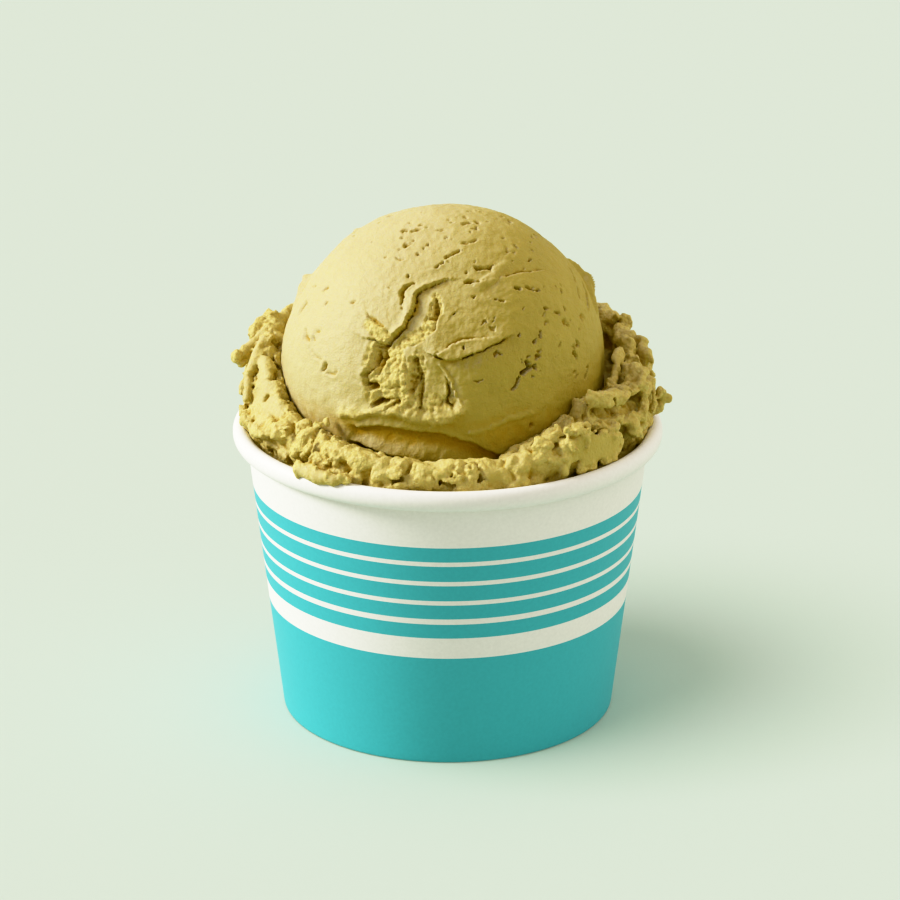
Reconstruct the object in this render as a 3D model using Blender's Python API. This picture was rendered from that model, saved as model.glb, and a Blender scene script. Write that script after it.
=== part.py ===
"""Gelato cup: a small paper cup with one round scoop of pistachio gelato.

The cup is two pieces of paperboard. The tapered wall is rolled outwards at the rim and folded inwards at the
foot, and the base disc hangs its short skirt into that fold. The gelato is one mass: it fills the cup, its
scooped ball stands out of the middle, and the ragged collar that the scoop squeezed out stands round the ball.

Frame: +Z up, origin at the centre of the cup's foot, and the front, where the ball is torn, towards -Y.
Azimuths are in degrees from the front, and grow towards +X, the right. Lengths are in millimetres.
"""

import math

import bmesh
import bpy
from mathutils import Vector, noise

MM = 0.001

# The cup.
CUP_HEIGHT = 52.6
RIM_RADIUS = 37.5
RIM_ROLL_WIDTH = 2.8
RIM_ROLL_HEIGHT = 3.5
FOOT_RADIUS = 29.25
WALL_TAPER = 0.118  # growth of the radius for each millimetre of height
PAPER = 0.4
GAP = 0.3  # between pieces that touch
BASE_HEIGHT = 6.5  # of the base disc's underside above the foot
FOOT_CORNER = 0.25  # radius of the foot's folded corners

# The scooped ball.
BALL_RADIUS = 28.0
BALL_HEIGHT = 62.3  # of its centre

# The collar round the ball, read at each azimuth: height and radius of its crest, its widest radius and the
# height of that, its radius where it crosses the rim, and how far its crease with the ball is under the crest.
COLLAR = (
    (-135, (67.5, 31.0, 36.0, 60.0, 35.0, 4.5)),  # back left
    (-88, (72.0, 32.6, 37.4, 64.0, 36.0, 7.0)),  # left wing
    (-62, (64.0, 33.0, 36.4, 58.5, 33.0, 4.5)),  # gap over the rim
    (-38, (59.0, 32.0, 36.4, 55.2, 36.2, 2.6)),  # lobe that lies on the rim
    (-8, (56.0, 31.0, 34.4, 54.2, 33.8, 1.8)),  # low front
    (28, (57.2, 31.2, 35.0, 54.6, 34.4, 2.0)),
    (60, (61.5, 32.8, 36.6, 57.5, 32.6, 4.2)),  # gap over the rim
    (86, (70.5, 32.8, 38.3, 58.2, 37.0, 6.5)),  # right wing
    (135, (67.5, 31.0, 36.0, 60.0, 35.0, 4.5)),  # back right
    (180, (66.0, 30.5, 35.4, 59.0, 34.6, 3.2)),  # back
)
# Lumps of the collar's ragged surface: size across and height.
COLLAR_LUMPS = ((9.0, 2.4), (4.4, 1.6))

# The tear down the front of the ball: azimuth and elevation on the ball, half width and depth.
TEAR = (
    (2.0, 48.5, 1.4, 0.7),
    (-13.5, 45.0, 1.8, 1.2),
    (-18.0, 35.0, 2.6, 1.8),
    (-23.0, 27.0, 3.2, 2.4),
    (-27.0, 18.0, 3.2, 2.8),
    (-25.0, 6.0, 2.8, 2.4),
)
# The ridge that the scoop's sweep left over the ball's back, rising from each side towards the middle.
SEAM_START = 100.0
SEAM_ELEVATION = 33.0
SEAM_CLIMB = 20.0
SEAM_HEIGHT = 1.6
SEAM_HALF_WIDTH = 4.0

CUP_STEPS = 60
ROLL_STEPS = 11
GELATO_COLUMNS = 90
COLLAR_ROWS = 16
BALL_ROWS = 17

WHITE_BOARD = (0.90, 0.89, 0.86)
PISTACHIO = (0.66, 0.55, 0.20)


def wall_outer(height):
    """Outer radius of the cup's tapered wall at a height."""
    return FOOT_RADIUS + WALL_TAPER * height


def wall_inner(height):
    """Inner radius of the cup's tapered wall at a height."""
    return wall_outer(height) - PAPER


def skirt_outer(height):
    """Outer radius of the base disc's skirt, which hangs inside the wall."""
    return wall_inner(height) - GAP


def fold_outer(height):
    """Outer radius of the part of the wall that is folded up inside the foot."""
    return skirt_outer(height) - PAPER - GAP


def arc(centre, radii, start, end, steps):
    """Points on an ellipse in the radius-height plane, between two angles in degrees."""
    points = []
    for i in range(steps + 1):
        angle = math.radians(start + (end - start) * i / steps)
        points.append((centre[0] + radii[0] * math.cos(angle), centre[1] + radii[1] * math.sin(angle)))
    return points


def material(name, colour, roughness):
    """A plain Principled material."""
    made = bpy.data.materials.new(name)
    made.use_nodes = True
    shader = made.node_tree.nodes["Principled BSDF"]
    shader.inputs["Base Color"].default_value = (*colour, 1.0)
    shader.inputs["Roughness"].default_value = roughness
    shader.inputs["Metallic"].default_value = 0.0
    return made


def add_object(name, bm, finish):
    """Links the bmesh as a smooth-shaded object with its corners kept sharp."""
    bmesh.ops.recalc_face_normals(bm, faces=bm.faces)
    mesh = bpy.data.meshes.new(name)
    bm.to_mesh(mesh)
    bm.free()
    mesh.shade_smooth()
    mesh.set_sharp_from_angle(angle=math.radians(35))
    mesh.materials.append(finish)
    made = bpy.data.objects.new(name, mesh)
    bpy.context.scene.collection.objects.link(made)
    return made


def turned(name, profile, closed, finish):
    """Spins a profile of (radius, height) points about the cup's axis."""
    bm = bmesh.new()
    points = [bm.verts.new((radius * MM, 0.0, height * MM)) for radius, height in profile]
    pairs = list(zip(points, points[1:]))
    if closed:
        pairs.append((points[-1], points[0]))
    edges = [bm.edges.new(pair) for pair in pairs]
    bmesh.ops.spin(
        bm,
        geom=points + edges,
        cent=(0, 0, 0),
        axis=(0, 0, 1),
        angle=math.tau,
        steps=CUP_STEPS,
        use_merge=True,
    )
    bmesh.ops.remove_doubles(bm, verts=bm.verts, dist=0.001 * MM)
    return add_object(name, bm, finish)


def make_cup_wall(finish):
    """The wall: flat folded foot, tapered side, rolled rim and the inner fold that grips the base's skirt."""
    roll_centre = (RIM_RADIUS - RIM_ROLL_WIDTH / 2, CUP_HEIGHT - RIM_ROLL_HEIGHT / 2)
    below_roll = CUP_HEIGHT - 1.35 * RIM_ROLL_HEIGHT
    fold_top = BASE_HEIGHT - GAP
    fold_inner = fold_outer(0) - PAPER
    corner = (FOOT_CORNER, FOOT_CORNER)
    profile = arc((FOOT_RADIUS - FOOT_CORNER, FOOT_CORNER), corner, -90, 0, 2)
    profile += arc(roll_centre, (RIM_ROLL_WIDTH / 2, RIM_ROLL_HEIGHT / 2), -135, 180, ROLL_STEPS)
    profile += [
        (wall_inner(below_roll), below_roll),
        (wall_inner(PAPER), PAPER),
        (fold_outer(PAPER), PAPER),
        (fold_outer(fold_top), fold_top),
        (fold_outer(fold_top) - PAPER, fold_top),
    ]
    profile += arc((fold_inner + FOOT_CORNER, FOOT_CORNER), corner, 180, 270, 2)
    return turned("cup_wall", profile, True, finish)


def make_cup_base(finish):
    """The base disc, with the short skirt that hangs into the wall's fold."""
    top = BASE_HEIGHT + PAPER
    skirt_bottom = PAPER + GAP
    profile = [
        (0, BASE_HEIGHT),
        (skirt_outer(BASE_HEIGHT) - PAPER, BASE_HEIGHT),
        (skirt_outer(skirt_bottom) - PAPER, skirt_bottom),
        (skirt_outer(skirt_bottom), skirt_bottom),
        (skirt_outer(top), top),
        (0, top),
    ]
    return turned("cup_base", profile, False, finish)


def catmull_rom(p0, p1, p2, p3, t):
    """A number on the smooth curve through p1 and p2."""
    bend = 2 * p0 - 5 * p1 + 4 * p2 - p3
    twist = 3 * p1 - p0 - 3 * p2 + p3
    return p1 + 0.5 * t * (p2 - p0 + t * (bend + t * twist))


def collar_at(azimuth):
    """The collar's six sizes at an azimuth, eased from one station of the table to the next."""
    count = len(COLLAR)
    after = next((i for i in range(count) if COLLAR[i][0] > azimuth), 0)
    start, before = COLLAR[after - 1]
    end, ahead = COLLAR[after]
    share = ((azimuth - start) % 360) / ((end - start) % 360)
    ease = share * share * (3 - 2 * share)
    return [a + (b - a) * ease for a, b in zip(before, ahead)]


def direction(azimuth, elevation):
    """Unit vector at an azimuth and elevation in degrees."""
    a = math.radians(azimuth)
    e = math.radians(elevation)
    return Vector((math.sin(a) * math.cos(e), -math.cos(a) * math.cos(e), math.sin(e)))


def tear_depth(towards):
    """Depth of the tear at a direction on the ball."""
    deepest = 0.0
    here = towards * BALL_RADIUS
    for first, second in zip(TEAR, TEAR[1:]):
        a = direction(*first[:2]) * BALL_RADIUS
        b = direction(*second[:2]) * BALL_RADIUS
        along = min(1.0, max(0.0, (here - a).dot(b - a) / (b - a).length_squared))
        half_width = first[2] + (second[2] - first[2]) * along
        depth = first[3] + (second[3] - first[3]) * along
        off = (here - a.lerp(b, along)).length / half_width
        deepest = max(deepest, depth * math.exp(-off * off))
    return deepest


def seam_height(azimuth, elevation):
    """Height of the ridge that runs over the ball's back."""
    share = (abs(azimuth) - SEAM_START) / (180 - SEAM_START)
    if share < 0:
        return 0.0
    fade = math.sin(math.pi * min(0.5, 3 * share))
    off = (elevation - SEAM_ELEVATION - SEAM_CLIMB * share) / SEAM_HALF_WIDTH
    return SEAM_HEIGHT * fade * math.exp(-off * off)


def ball_point(azimuth, elevation):
    """Radius and height of the ball's surface at an azimuth and elevation."""
    radius = BALL_RADIUS + seam_height(azimuth, elevation) - tear_depth(direction(azimuth, elevation))
    at = math.radians(elevation)
    return radius * math.cos(at), BALL_HEIGHT + radius * math.sin(at)


def clear_of_rim(radius, height):
    """The point, pushed out of the rolled rim and the gap round it."""
    half_width = RIM_ROLL_WIDTH / 2 + 1.5 * GAP
    half_height = RIM_ROLL_HEIGHT / 2 + 1.5 * GAP
    across = (radius - RIM_RADIUS + RIM_ROLL_WIDTH / 2) / half_width
    up = (height - CUP_HEIGHT + RIM_ROLL_HEIGHT / 2) / half_height
    push = max(0.0, 1 / math.hypot(across, up) - 1)
    return radius + across * push * half_width, height + up * push * half_height


def collar_outline(azimuth):
    """Points up the collar's outer face from inside the rim, over its crest and down to its crease."""
    crest_height, crest_radius, widest, widest_height, at_rim, crease = collar_at(azimuth)
    crease_height = crest_height - crease
    crease_radius = math.sqrt(BALL_RADIUS**2 - (crease_height - BALL_HEIGHT) ** 2) + GAP
    over_rim = CUP_HEIGHT + 2 * GAP
    throat = RIM_RADIUS - RIM_ROLL_WIDTH - 2 * GAP
    return [
        (throat, over_rim - 2.6),
        (min(throat, at_rim), over_rim - 0.6),
        (at_rim, over_rim),
        (widest, widest_height),
        ((widest + crest_radius) / 2 + 0.6, (widest_height + crest_height) / 2 + 0.8),
        (crest_radius, crest_height),
        ((crest_radius + crease_radius) / 2 - 0.3, crest_height - 0.3 * crease),
        (crease_radius, crease_height),
    ]


def along_outline(outline, share):
    """The point at a share of the way through the outline's points, on a smooth curve."""
    last = len(outline) - 1
    place = share * last
    i = min(int(place), last - 1)
    near = [outline[max(0, min(last, i + step))] for step in (-1, 0, 1, 2)]
    return tuple(catmull_rom(*(point[k] for point in near), place - i) for k in (0, 1))


def collar_lump(azimuth, radius, height):
    """How far the ragged surface of the collar stands out at a point."""
    place = Vector((radius * math.sin(math.radians(azimuth)), radius * math.cos(math.radians(azimuth)), height))
    return sum(tall * noise.noise(place / across) for across, tall in COLLAR_LUMPS)


def gelato_column(azimuth):
    """(radius, height) points from the cup's floor up the fill, over the collar and up to the ball's top."""
    floor = BASE_HEIGHT + PAPER + GAP
    outline = collar_outline(azimuth)
    fill_top = outline[0][1] - 2.0
    points = [(wall_inner(height) - GAP, height) for height in (floor, fill_top)]
    for row in range(COLLAR_ROWS):
        share = row / (COLLAR_ROWS - 1)
        radius, height = along_outline(outline, share)
        above_rim = math.sin(math.pi * min(1.0, max(0.0, (share - 0.25) / 0.75)))
        lump = above_rim * collar_lump(azimuth, radius, height)
        points.append(clear_of_rim(radius + lump, height + 0.8 * lump))
    crease_elevation = math.degrees(math.asin((outline[-1][1] - BALL_HEIGHT) / BALL_RADIUS))
    step = (90 - crease_elevation) / (BALL_ROWS + 1)
    points += [ball_point(azimuth, crease_elevation + step * row) for row in range(1, BALL_ROWS + 1)]
    return points


def make_gelato(finish):
    """The whole mass of gelato: a ring of columns, closed by a fan on the floor and one at the top."""
    bm = bmesh.new()
    columns = []
    for i in range(GELATO_COLUMNS):
        azimuth = -180 + 360 * i / GELATO_COLUMNS
        towards = direction(azimuth, 0) * MM
        place = [(towards.x * radius, towards.y * radius, height * MM) for radius, height in gelato_column(azimuth)]
        columns.append([bm.verts.new(point) for point in place])
    bottom = bm.verts.new((0, 0, (BASE_HEIGHT + PAPER + GAP) * MM))
    top = bm.verts.new((0, 0, (BALL_HEIGHT + BALL_RADIUS) * MM))
    for column, beside in zip(columns, columns[1:] + columns[:1]):
        for row in range(len(column) - 1):
            bm.faces.new((column[row], beside[row], beside[row + 1], column[row + 1]))
        bm.faces.new((bottom, beside[0], column[0]))
        bm.faces.new((column[-1], beside[-1], top))
    return add_object("gelato", bm, finish)


def main():
    for old in list(bpy.data.objects):
        bpy.data.objects.remove(old)
    board = material("white_paperboard", WHITE_BOARD, 0.45)
    make_cup_wall(board)
    make_cup_base(board)
    make_gelato(material("pistachio_gelato", PISTACHIO, 0.5))


main()
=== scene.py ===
# %% [markdown]
# # A cup of pistachio gelato
# A small paper cup, printed in teal and white, holds one round scoop of gelato. The frame brings the
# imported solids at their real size: the wall and the base of the cup, and the gelato as one plain mass.
# This lesson gives each of them its real surface. Lengths in the frame are metres, and the making here
# is in millimetres, because food and paper are easier to think of that way.

# %% Load the frame
import math

import bpy
import numpy as np
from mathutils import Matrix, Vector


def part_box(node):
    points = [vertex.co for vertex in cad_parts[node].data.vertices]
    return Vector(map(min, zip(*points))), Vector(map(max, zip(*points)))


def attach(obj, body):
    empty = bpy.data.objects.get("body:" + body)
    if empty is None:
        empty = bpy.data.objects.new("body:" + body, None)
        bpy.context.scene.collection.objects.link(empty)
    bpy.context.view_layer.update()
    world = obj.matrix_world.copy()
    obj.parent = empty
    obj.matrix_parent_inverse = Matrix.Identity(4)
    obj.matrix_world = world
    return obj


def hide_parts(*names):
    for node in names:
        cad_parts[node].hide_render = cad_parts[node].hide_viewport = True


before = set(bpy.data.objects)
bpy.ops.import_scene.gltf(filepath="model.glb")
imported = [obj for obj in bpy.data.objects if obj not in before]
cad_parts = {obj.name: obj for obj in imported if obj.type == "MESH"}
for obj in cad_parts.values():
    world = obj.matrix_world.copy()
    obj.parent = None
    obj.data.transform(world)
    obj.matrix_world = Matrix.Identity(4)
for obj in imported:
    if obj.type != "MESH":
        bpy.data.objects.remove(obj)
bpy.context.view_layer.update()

import openvdb
from mathutils import Vector

MM = 0.001
print("solids:", ", ".join(sorted(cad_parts)))

# %% [markdown]
# ## Where the cup stands
# The floor is one plain pale sheet with no texture, so that all the eye has to look at is the cup. Its
# colour is a pale green, and it throws a little green up on the white paper. Colours are written as sRGB
# hex, the way a picker shows them. Blender's shaders want linear light, so one function turns the one
# into the other.

# %% Colours
def linear(hex_colour):
    """An sRGB hex colour as the linear colour that shaders take."""
    parts = [int(hex_colour[i : i + 2], 16) / 255 for i in (1, 3, 5)]
    return (*[p / 12.92 if p <= 0.04045 else ((p + 0.055) / 1.055) ** 2.4 for p in parts], 1.0)


PALE_GREEN = linear("#C9D8C9")
print("floor colour", [round(c, 3) for c in PALE_GREEN[:3]])

# %% [markdown]
# A material is a tree of nodes. One small function adds a node: its settings are the node's own choices,
# and its inputs are either plain values or the outputs of other nodes, which it links.

# %% A function that adds a node
def add_node(tree, kind, inputs=None, **settings):
    """Adds a shader node with its settings, and fills or links its inputs."""
    made = tree.nodes.new("ShaderNode" + kind)
    for name, value in settings.items():
        setattr(made, name, value)
    for name, value in (inputs or {}).items():
        if isinstance(value, bpy.types.NodeSocket):
            tree.links.new(value, made.inputs[name])
        else:
            made.inputs[name].default_value = value
    return made


def new_material(name, **shader_inputs):
    """A material with an empty tree but for its output and a Principled shader, and that shader."""
    made = bpy.data.materials.new(name)
    made.use_nodes = True
    made.node_tree.nodes.clear()
    shader = add_node(made.node_tree, "BsdfPrincipled", shader_inputs)
    add_node(made.node_tree, "OutputMaterial", {"Surface": shader.outputs["BSDF"]})
    return made, shader


# %% [markdown]
# The floor is one flat square, far larger than the cup, in a matte paint that shows no shine of its own.

# %% The floor
FLOOR_REACH = 4.0  # metres each way, so that it fills every view from above
FLOOR_DROP = 0.0001  # metres, so that it and the cup's foot don't lie in one plane


def plain_mesh(name, points, faces, material, smooth=True):
    """Links a mesh object made from points in metres and faces."""
    mesh = bpy.data.meshes.new(name)
    mesh.from_pydata(points, [], faces)
    mesh.materials.append(material)
    if smooth:
        mesh.shade_smooth()
    made = bpy.data.objects.new(name, mesh)
    bpy.context.scene.collection.objects.link(made)
    return made


FLOOR_GLOW = linear("#555952")  # the sheet is lit a little from below, which keeps the shadow light
floor_paint, floor_shader = new_material("pale matte floor", **{"Base Color": PALE_GREEN, "Roughness": 0.95})
floor_shader.inputs["Emission Color"].default_value = FLOOR_GLOW
floor_shader.inputs["Emission Strength"].default_value = 1.0
corners = [(x * FLOOR_REACH, y * FLOOR_REACH, -FLOOR_DROP) for x, y in ((-1, -1), (1, -1), (1, 1), (-1, 1))]
floor = plain_mesh("floor", corners, [(0, 1, 2, 3)], floor_paint, smooth=False)
print("floor", 2 * FLOOR_REACH, "metres across")

# %% [markdown]
# ## Light and camera
# The key stands at the left, about a third of the way up the sky, and rakes across the gelato, so that
# every crack and crumb shows. A weak fill stands at the right. Flags keep both off the floor, and a grid
# over the high and wide top light keeps it to the floor, where it lays the soft shadow. Light linking
# does both here: each lamp has a list of what it lights, and everything still blocks every lamp. Sun
# lamps light evenly, and their angle blurs a shadow as the size of a softbox would. The world is the
# pale walls.

# %% Light
def add_lamp(name, azimuth, elevation, width, strength, colour):
    """A sun lamp from an azimuth and an elevation in degrees; strength is what a facing surface gets."""
    lamp = bpy.data.lights.new(name, "SUN")
    lamp.angle = math.radians(width)
    lamp.energy = math.pi * strength
    lamp.color = linear(colour)[:3]
    made = bpy.data.objects.new(name, lamp)
    bpy.context.scene.collection.objects.link(made)
    a, e = math.radians(azimuth), math.radians(elevation)
    towards = Vector((math.sin(a) * math.cos(e), -math.cos(a) * math.cos(e), math.sin(e)))
    made.rotation_euler = towards.to_track_quat("Z", "Y").to_euler()
    print(name, "from", azimuth, "degrees,", elevation, "degrees high")
    return made


def light_only(lamp, name, state):
    """Gives the lamp a list with the floor: INCLUDE lights only the floor, EXCLUDE all but the floor."""
    listed = bpy.data.collections.new(name)
    listed.objects.link(floor)
    listed.collection_objects[0].light_linking.link_state = state
    lamp.light_linking.receiver_collection = listed


top_light = add_lamp("top light", azimuth=-67, elevation=59, width=42, strength=0.6, colour="#FFFEFB")
key = add_lamp("key", azimuth=-89, elevation=31, width=20, strength=1.18, colour="#FFFEFB")
fill = add_lamp("fill", azimuth=96, elevation=38, width=90, strength=0.4, colour="#FFF8EE")
light_only(top_light, "the grid", "INCLUDE")
light_only(key, "the key's flag", "EXCLUDE")
light_only(fill, "the fill's flag", "EXCLUDE")

world = bpy.data.worlds.new("pale room")
bpy.context.scene.world = world
world.use_nodes = True
world.node_tree.nodes["Background"].inputs["Color"].default_value = linear("#FFF9F1")
world.node_tree.nodes["Background"].inputs["Strength"].default_value = 0.57

# %% [markdown]
# The picture is printed through a tone curve, as film does: its toe deepens and saturates the shadows
# and its shoulder holds the lit side back. Each of its points is a scene brightness and the brightness
# that it prints as. The blue layer has a deeper toe of its own, so that shadows on the gelato stay
# golden.

# %% Tone curve
TONES = ((0.03, 0.012), (0.1, 0.062), (0.2, 0.152), (0.35, 0.315), (0.55, 0.55), (0.8, 0.79), (1.05, 0.92))
BLUE_TONES = ((0.009, 0.002), (0.025, 0.014), (0.055, 0.051), (0.1, 0.1), (0.4, 0.4))
BRIGHTEST = 1.4
view = bpy.context.scene.view_settings
view.view_transform = "Standard"
view.use_curve_mapping = True
view.curve_mapping.clip_max_x = BRIGHTEST
tone_curve = view.curve_mapping.curves[3]
tone_curve.points[1].location = (BRIGHTEST, 1.0)
for tone in TONES:
    tone_curve.points.new(*tone)
blue_curve = view.curve_mapping.curves[2]
for tone in BLUE_TONES:
    blue_curve.points.new(*tone)
view.curve_mapping.update()
print(len(tone_curve.points), "points in the tone curve")

# %% [markdown]
# The camera is a long lens from some way off, looking down at about 20 degrees, so the cup hardly
# converges.

# %% Camera
LENS = 159.2  # millimetres, on a 36 mm frame
CAMERA_AWAY = 0.697  # metres from the middle of the cup
CAMERA_TILT = 20.47  # degrees that it looks down
SWUNG_ROUND = 0.046  # metres up, the point that it is swung round
AIM = Vector((0.0004, 0, 0.0466))
lens = bpy.data.cameras.new("camera")
lens.lens = LENS
lens.sensor_width = 36
camera = bpy.data.objects.new("camera", lens)
bpy.context.scene.collection.objects.link(camera)
tilt = math.radians(CAMERA_TILT)
camera.location = (0, -CAMERA_AWAY * math.cos(tilt), SWUNG_ROUND + CAMERA_AWAY * math.sin(tilt))
camera.rotation_euler = (AIM - camera.location).to_track_quat("-Z", "Y").to_euler()
bpy.context.scene.camera = camera
print("camera at", [round(c, 3) for c in camera.location])

# %% [markdown]
# ## The paper cup
# A cup like this is cut as a fan from coated paperboard about 0.4 mm thick, wrapped round and glued in a
# side seam, and its top edge is rolled outwards into a bead that stiffens it and feels smooth on the
# lip. The foot is folded inwards and up over the skirt of the base disc. All of that is one profile
# turned round the axis, apart from the seam, where two layers lie on each other. So the wall is made
# ring by ring from a profile, and the seam lifts the rings a little where it passes. Its sizes are read
# from the frame.

# %% Sizes of the cup
wall_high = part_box("cup_wall")[1]
CUP_HEIGHT = wall_high.z / MM
RIM_RADIUS = wall_high.x / MM
PAPER = 0.4
wall_points = np.array([v.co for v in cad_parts["cup_wall"].data.vertices]) / MM
wall_radii = np.hypot(wall_points[:, 0], wall_points[:, 1])
FOOT_RADIUS = wall_radii[wall_points[:, 2] < 0.3].max()
BEAD_WIDTH = 2.8
BEAD_HEIGHT = 3.5
TAPER = 0.118  # growth of the radius for each millimetre up
print(f"cup {CUP_HEIGHT:.1f} high, {2 * RIM_RADIUS:.1f} over the rim, {2 * FOOT_RADIUS:.1f} over the foot")


def wall_radius(height):
    """Outer radius of the tapered wall at a height."""
    return FOOT_RADIUS + TAPER * height


# %% [markdown]
# The profile runs once round the paper, as points of radius and height: up the outside, round the bead,
# down the inside and into the fold under the foot. Its rounds are arcs.

# %% The profile of the wall
def arc(centre, radii, start, end, steps):
    """Points on an ellipse in the radius-height plane, between two angles in degrees."""
    angles = np.radians(np.linspace(start, end, steps + 1))
    return [(centre[0] + radii[0] * math.cos(a), centre[1] + radii[1] * math.sin(a)) for a in angles]


FOLD_TOP = 6.2  # how far the foot's fold goes up inside
FOOT_ROUND = 0.25
SKIRT_ROOM = 1.0  # between the wall and the fold, for the base's skirt
bead_centre = (RIM_RADIUS - BEAD_WIDTH / 2, CUP_HEIGHT - BEAD_HEIGHT / 2)
fold_radius = wall_radius(0) - PAPER - SKIRT_ROOM
bead_start = arc(bead_centre, (BEAD_WIDTH / 2, BEAD_HEIGHT / 2), -160, 178, 30)
rows_up = np.linspace(2 * FOOT_ROUND, CUP_HEIGHT - BEAD_HEIGHT - 0.15, 44)
rows_down = np.linspace(CUP_HEIGHT - BEAD_HEIGHT, PAPER, 12)
profile = arc((FOOT_RADIUS - FOOT_ROUND, FOOT_ROUND), (FOOT_ROUND, FOOT_ROUND), -90, 0, 4)
profile += [(wall_radius(z), z) for z in rows_up]
profile += bead_start
profile += [(wall_radius(z) - PAPER, z) for z in rows_down]
profile += [(fold_radius + TAPER * z, z) for z in (PAPER, FOLD_TOP)]
profile += [(fold_radius + TAPER * FOLD_TOP - PAPER, FOLD_TOP)]
profile += arc((fold_radius - PAPER + FOOT_ROUND, FOOT_ROUND), (FOOT_ROUND, FOOT_ROUND), 180, 270, 4)
print(len(profile), "points in the profile")

# %% [markdown]
# The glued seam is at the back. The outer layer ends in a cut edge, so the surface steps up there at
# once, and eases down again on the other side, over the inner layer's edge.

# %% Turn the profile
SEAM_AZIMUTH = 172  # degrees from the front
SEAM_LAP = 9.0  # millimetres of overlap
COLUMNS = 288


def seam_lift(azimuth):
    """How far the lapped seam lifts the outer surface at an azimuth, in millimetres."""
    past = np.radians((azimuth - SEAM_AZIMUTH + 180) % 360 - 180) * FOOT_RADIUS
    return 0.85 * PAPER * np.clip(past / 0.15, 0, 1) * np.clip((SEAM_LAP - past) / 3.0, 0, 1)


def turned(name, profile, azimuths, closed, material, lift=None):
    """A surface turned from (radius, height) points, closed along the profile if asked."""
    rings = np.array(profile)
    around = np.radians(azimuths)
    lifted = lift(azimuths) if lift else np.zeros(len(azimuths))
    radius = rings[:, 0] + lifted[:, None]
    points = np.stack(
        [
            radius * np.sin(around)[:, None],
            -radius * np.cos(around)[:, None],
            np.broadcast_to(rings[None, :, 1], radius.shape),
        ],
        axis=-1,
    )
    rows, columns = len(rings), len(azimuths)
    faces = []
    for i in range(columns):
        beside = (i + 1) % columns
        for j in range(rows if closed else rows - 1):
            above = (j + 1) % rows
            faces.append((i * rows + j, beside * rows + j, beside * rows + above, i * rows + above))
    return plain_mesh(name, points.reshape(-1, 3) * MM, faces, material)


seam_columns = SEAM_AZIMUTH + np.array([-0.25, 0, 0.15, 0.3, 0.6])
azimuths = np.sort(np.concatenate([np.linspace(-180, 180, COLUMNS, endpoint=False), seam_columns]))
printed_board, board_shader = new_material("printed coated paperboard")
cup_wall = turned("cup_wall_paper", profile, azimuths, True, printed_board, lift=seam_lift)
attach(cup_wall, "root")
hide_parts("cup_wall")
print(len(cup_wall.data.polygons), "faces in the cup's wall")

# %% [markdown]
# ## The print
# The board is bleached white and coated with a thin film of polyethylene, so it has a satin gloss that
# is all in the coating: the ink lies under it. The blank is a fan, so printed arcs become level rings
# once it is wrapped. A ramp up the wall, with hard steps at the edges of the bands, gives them: four
# narrow white lines part five teal bands, a broad white band lies under them, and below it the teal is
# solid down to the foot.

# %% The bands
SOLID_TEAL_TOP = 20.5
BROAD_WHITE = 3.83
TEAL_BAND = 2.76
WHITE_LINE = 0.89
TEAL_BANDS = 5
teal_starts = [SOLID_TEAL_TOP + BROAD_WHITE + i * (TEAL_BAND + WHITE_LINE) for i in range(TEAL_BANDS)]
steps = [(0, "teal"), (SOLID_TEAL_TOP, "white")]
for start in teal_starts:
    steps += [(start, "teal"), (start + TEAL_BAND, "white")]
print("bands from the foot up:", [(round(z, 1), ink) for z, ink in steps])

# %% [markdown]
# Offset ink on board isn't perfectly even: the board's fibres take it up in a faint mottle about half a
# millimetre across, which only shows as a soft grain. The coating follows the fibres too, as a very low
# bump.

# %% Paperboard materials
BOARD_WHITE = linear("#EAE8E2")
TEAL = linear("#4CB4BC")
MOTTLE = 0.6  # millimetres across
FIBRE = 0.25  # real fibres are finer, and are drawn coarser so that they show in a picture of the whole cup


def finish_board(material, shader, ink=None):
    """Coated white board, with the ink colour socket's print on it if there is one."""
    tree = material.node_tree
    place = add_node(tree, "TexCoord").outputs["Object"]
    mottle = add_node(tree, "TexNoise", {"Vector": place, "Scale": 1 / (MOTTLE * MM), "Detail": 3.0})
    value = add_node(tree, "MapRange", {"Value": mottle.outputs["Fac"], "To Min": 0.93, "To Max": 1.07})
    base = ink(tree, place) if ink else BOARD_WHITE
    toned = add_node(tree, "HueSaturation", {"Value": value.outputs["Result"], "Color": base})
    tree.links.new(toned.outputs["Color"], shader.inputs["Base Color"])
    fibre = add_node(tree, "TexNoise", {"Vector": place, "Scale": 1 / (FIBRE * MM), "Detail": 2.0})
    bump = add_node(tree, "Bump", {"Height": fibre.outputs["Fac"], "Distance": 0.012 * MM, "Strength": 1.0})
    tree.links.new(bump.outputs["Normal"], shader.inputs["Normal"])
    shader.inputs["Roughness"].default_value = 0.5
    shader.inputs["IOR"].default_value = 1.5
    shader.inputs["Specular IOR Level"].default_value = 0.3


print("mottle of", MOTTLE, "mm and fibres of", FIBRE, "mm")

# %% [markdown]
# The print's colour comes from the height on the wall, through a ramp with hard steps. The wall's mesh also
# has an inner side, which isn't printed. So a second test asks how far from the axis a point lies: outside a
# cone that runs just under the outer skin there is print, and inside it the board stays bare.

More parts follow.
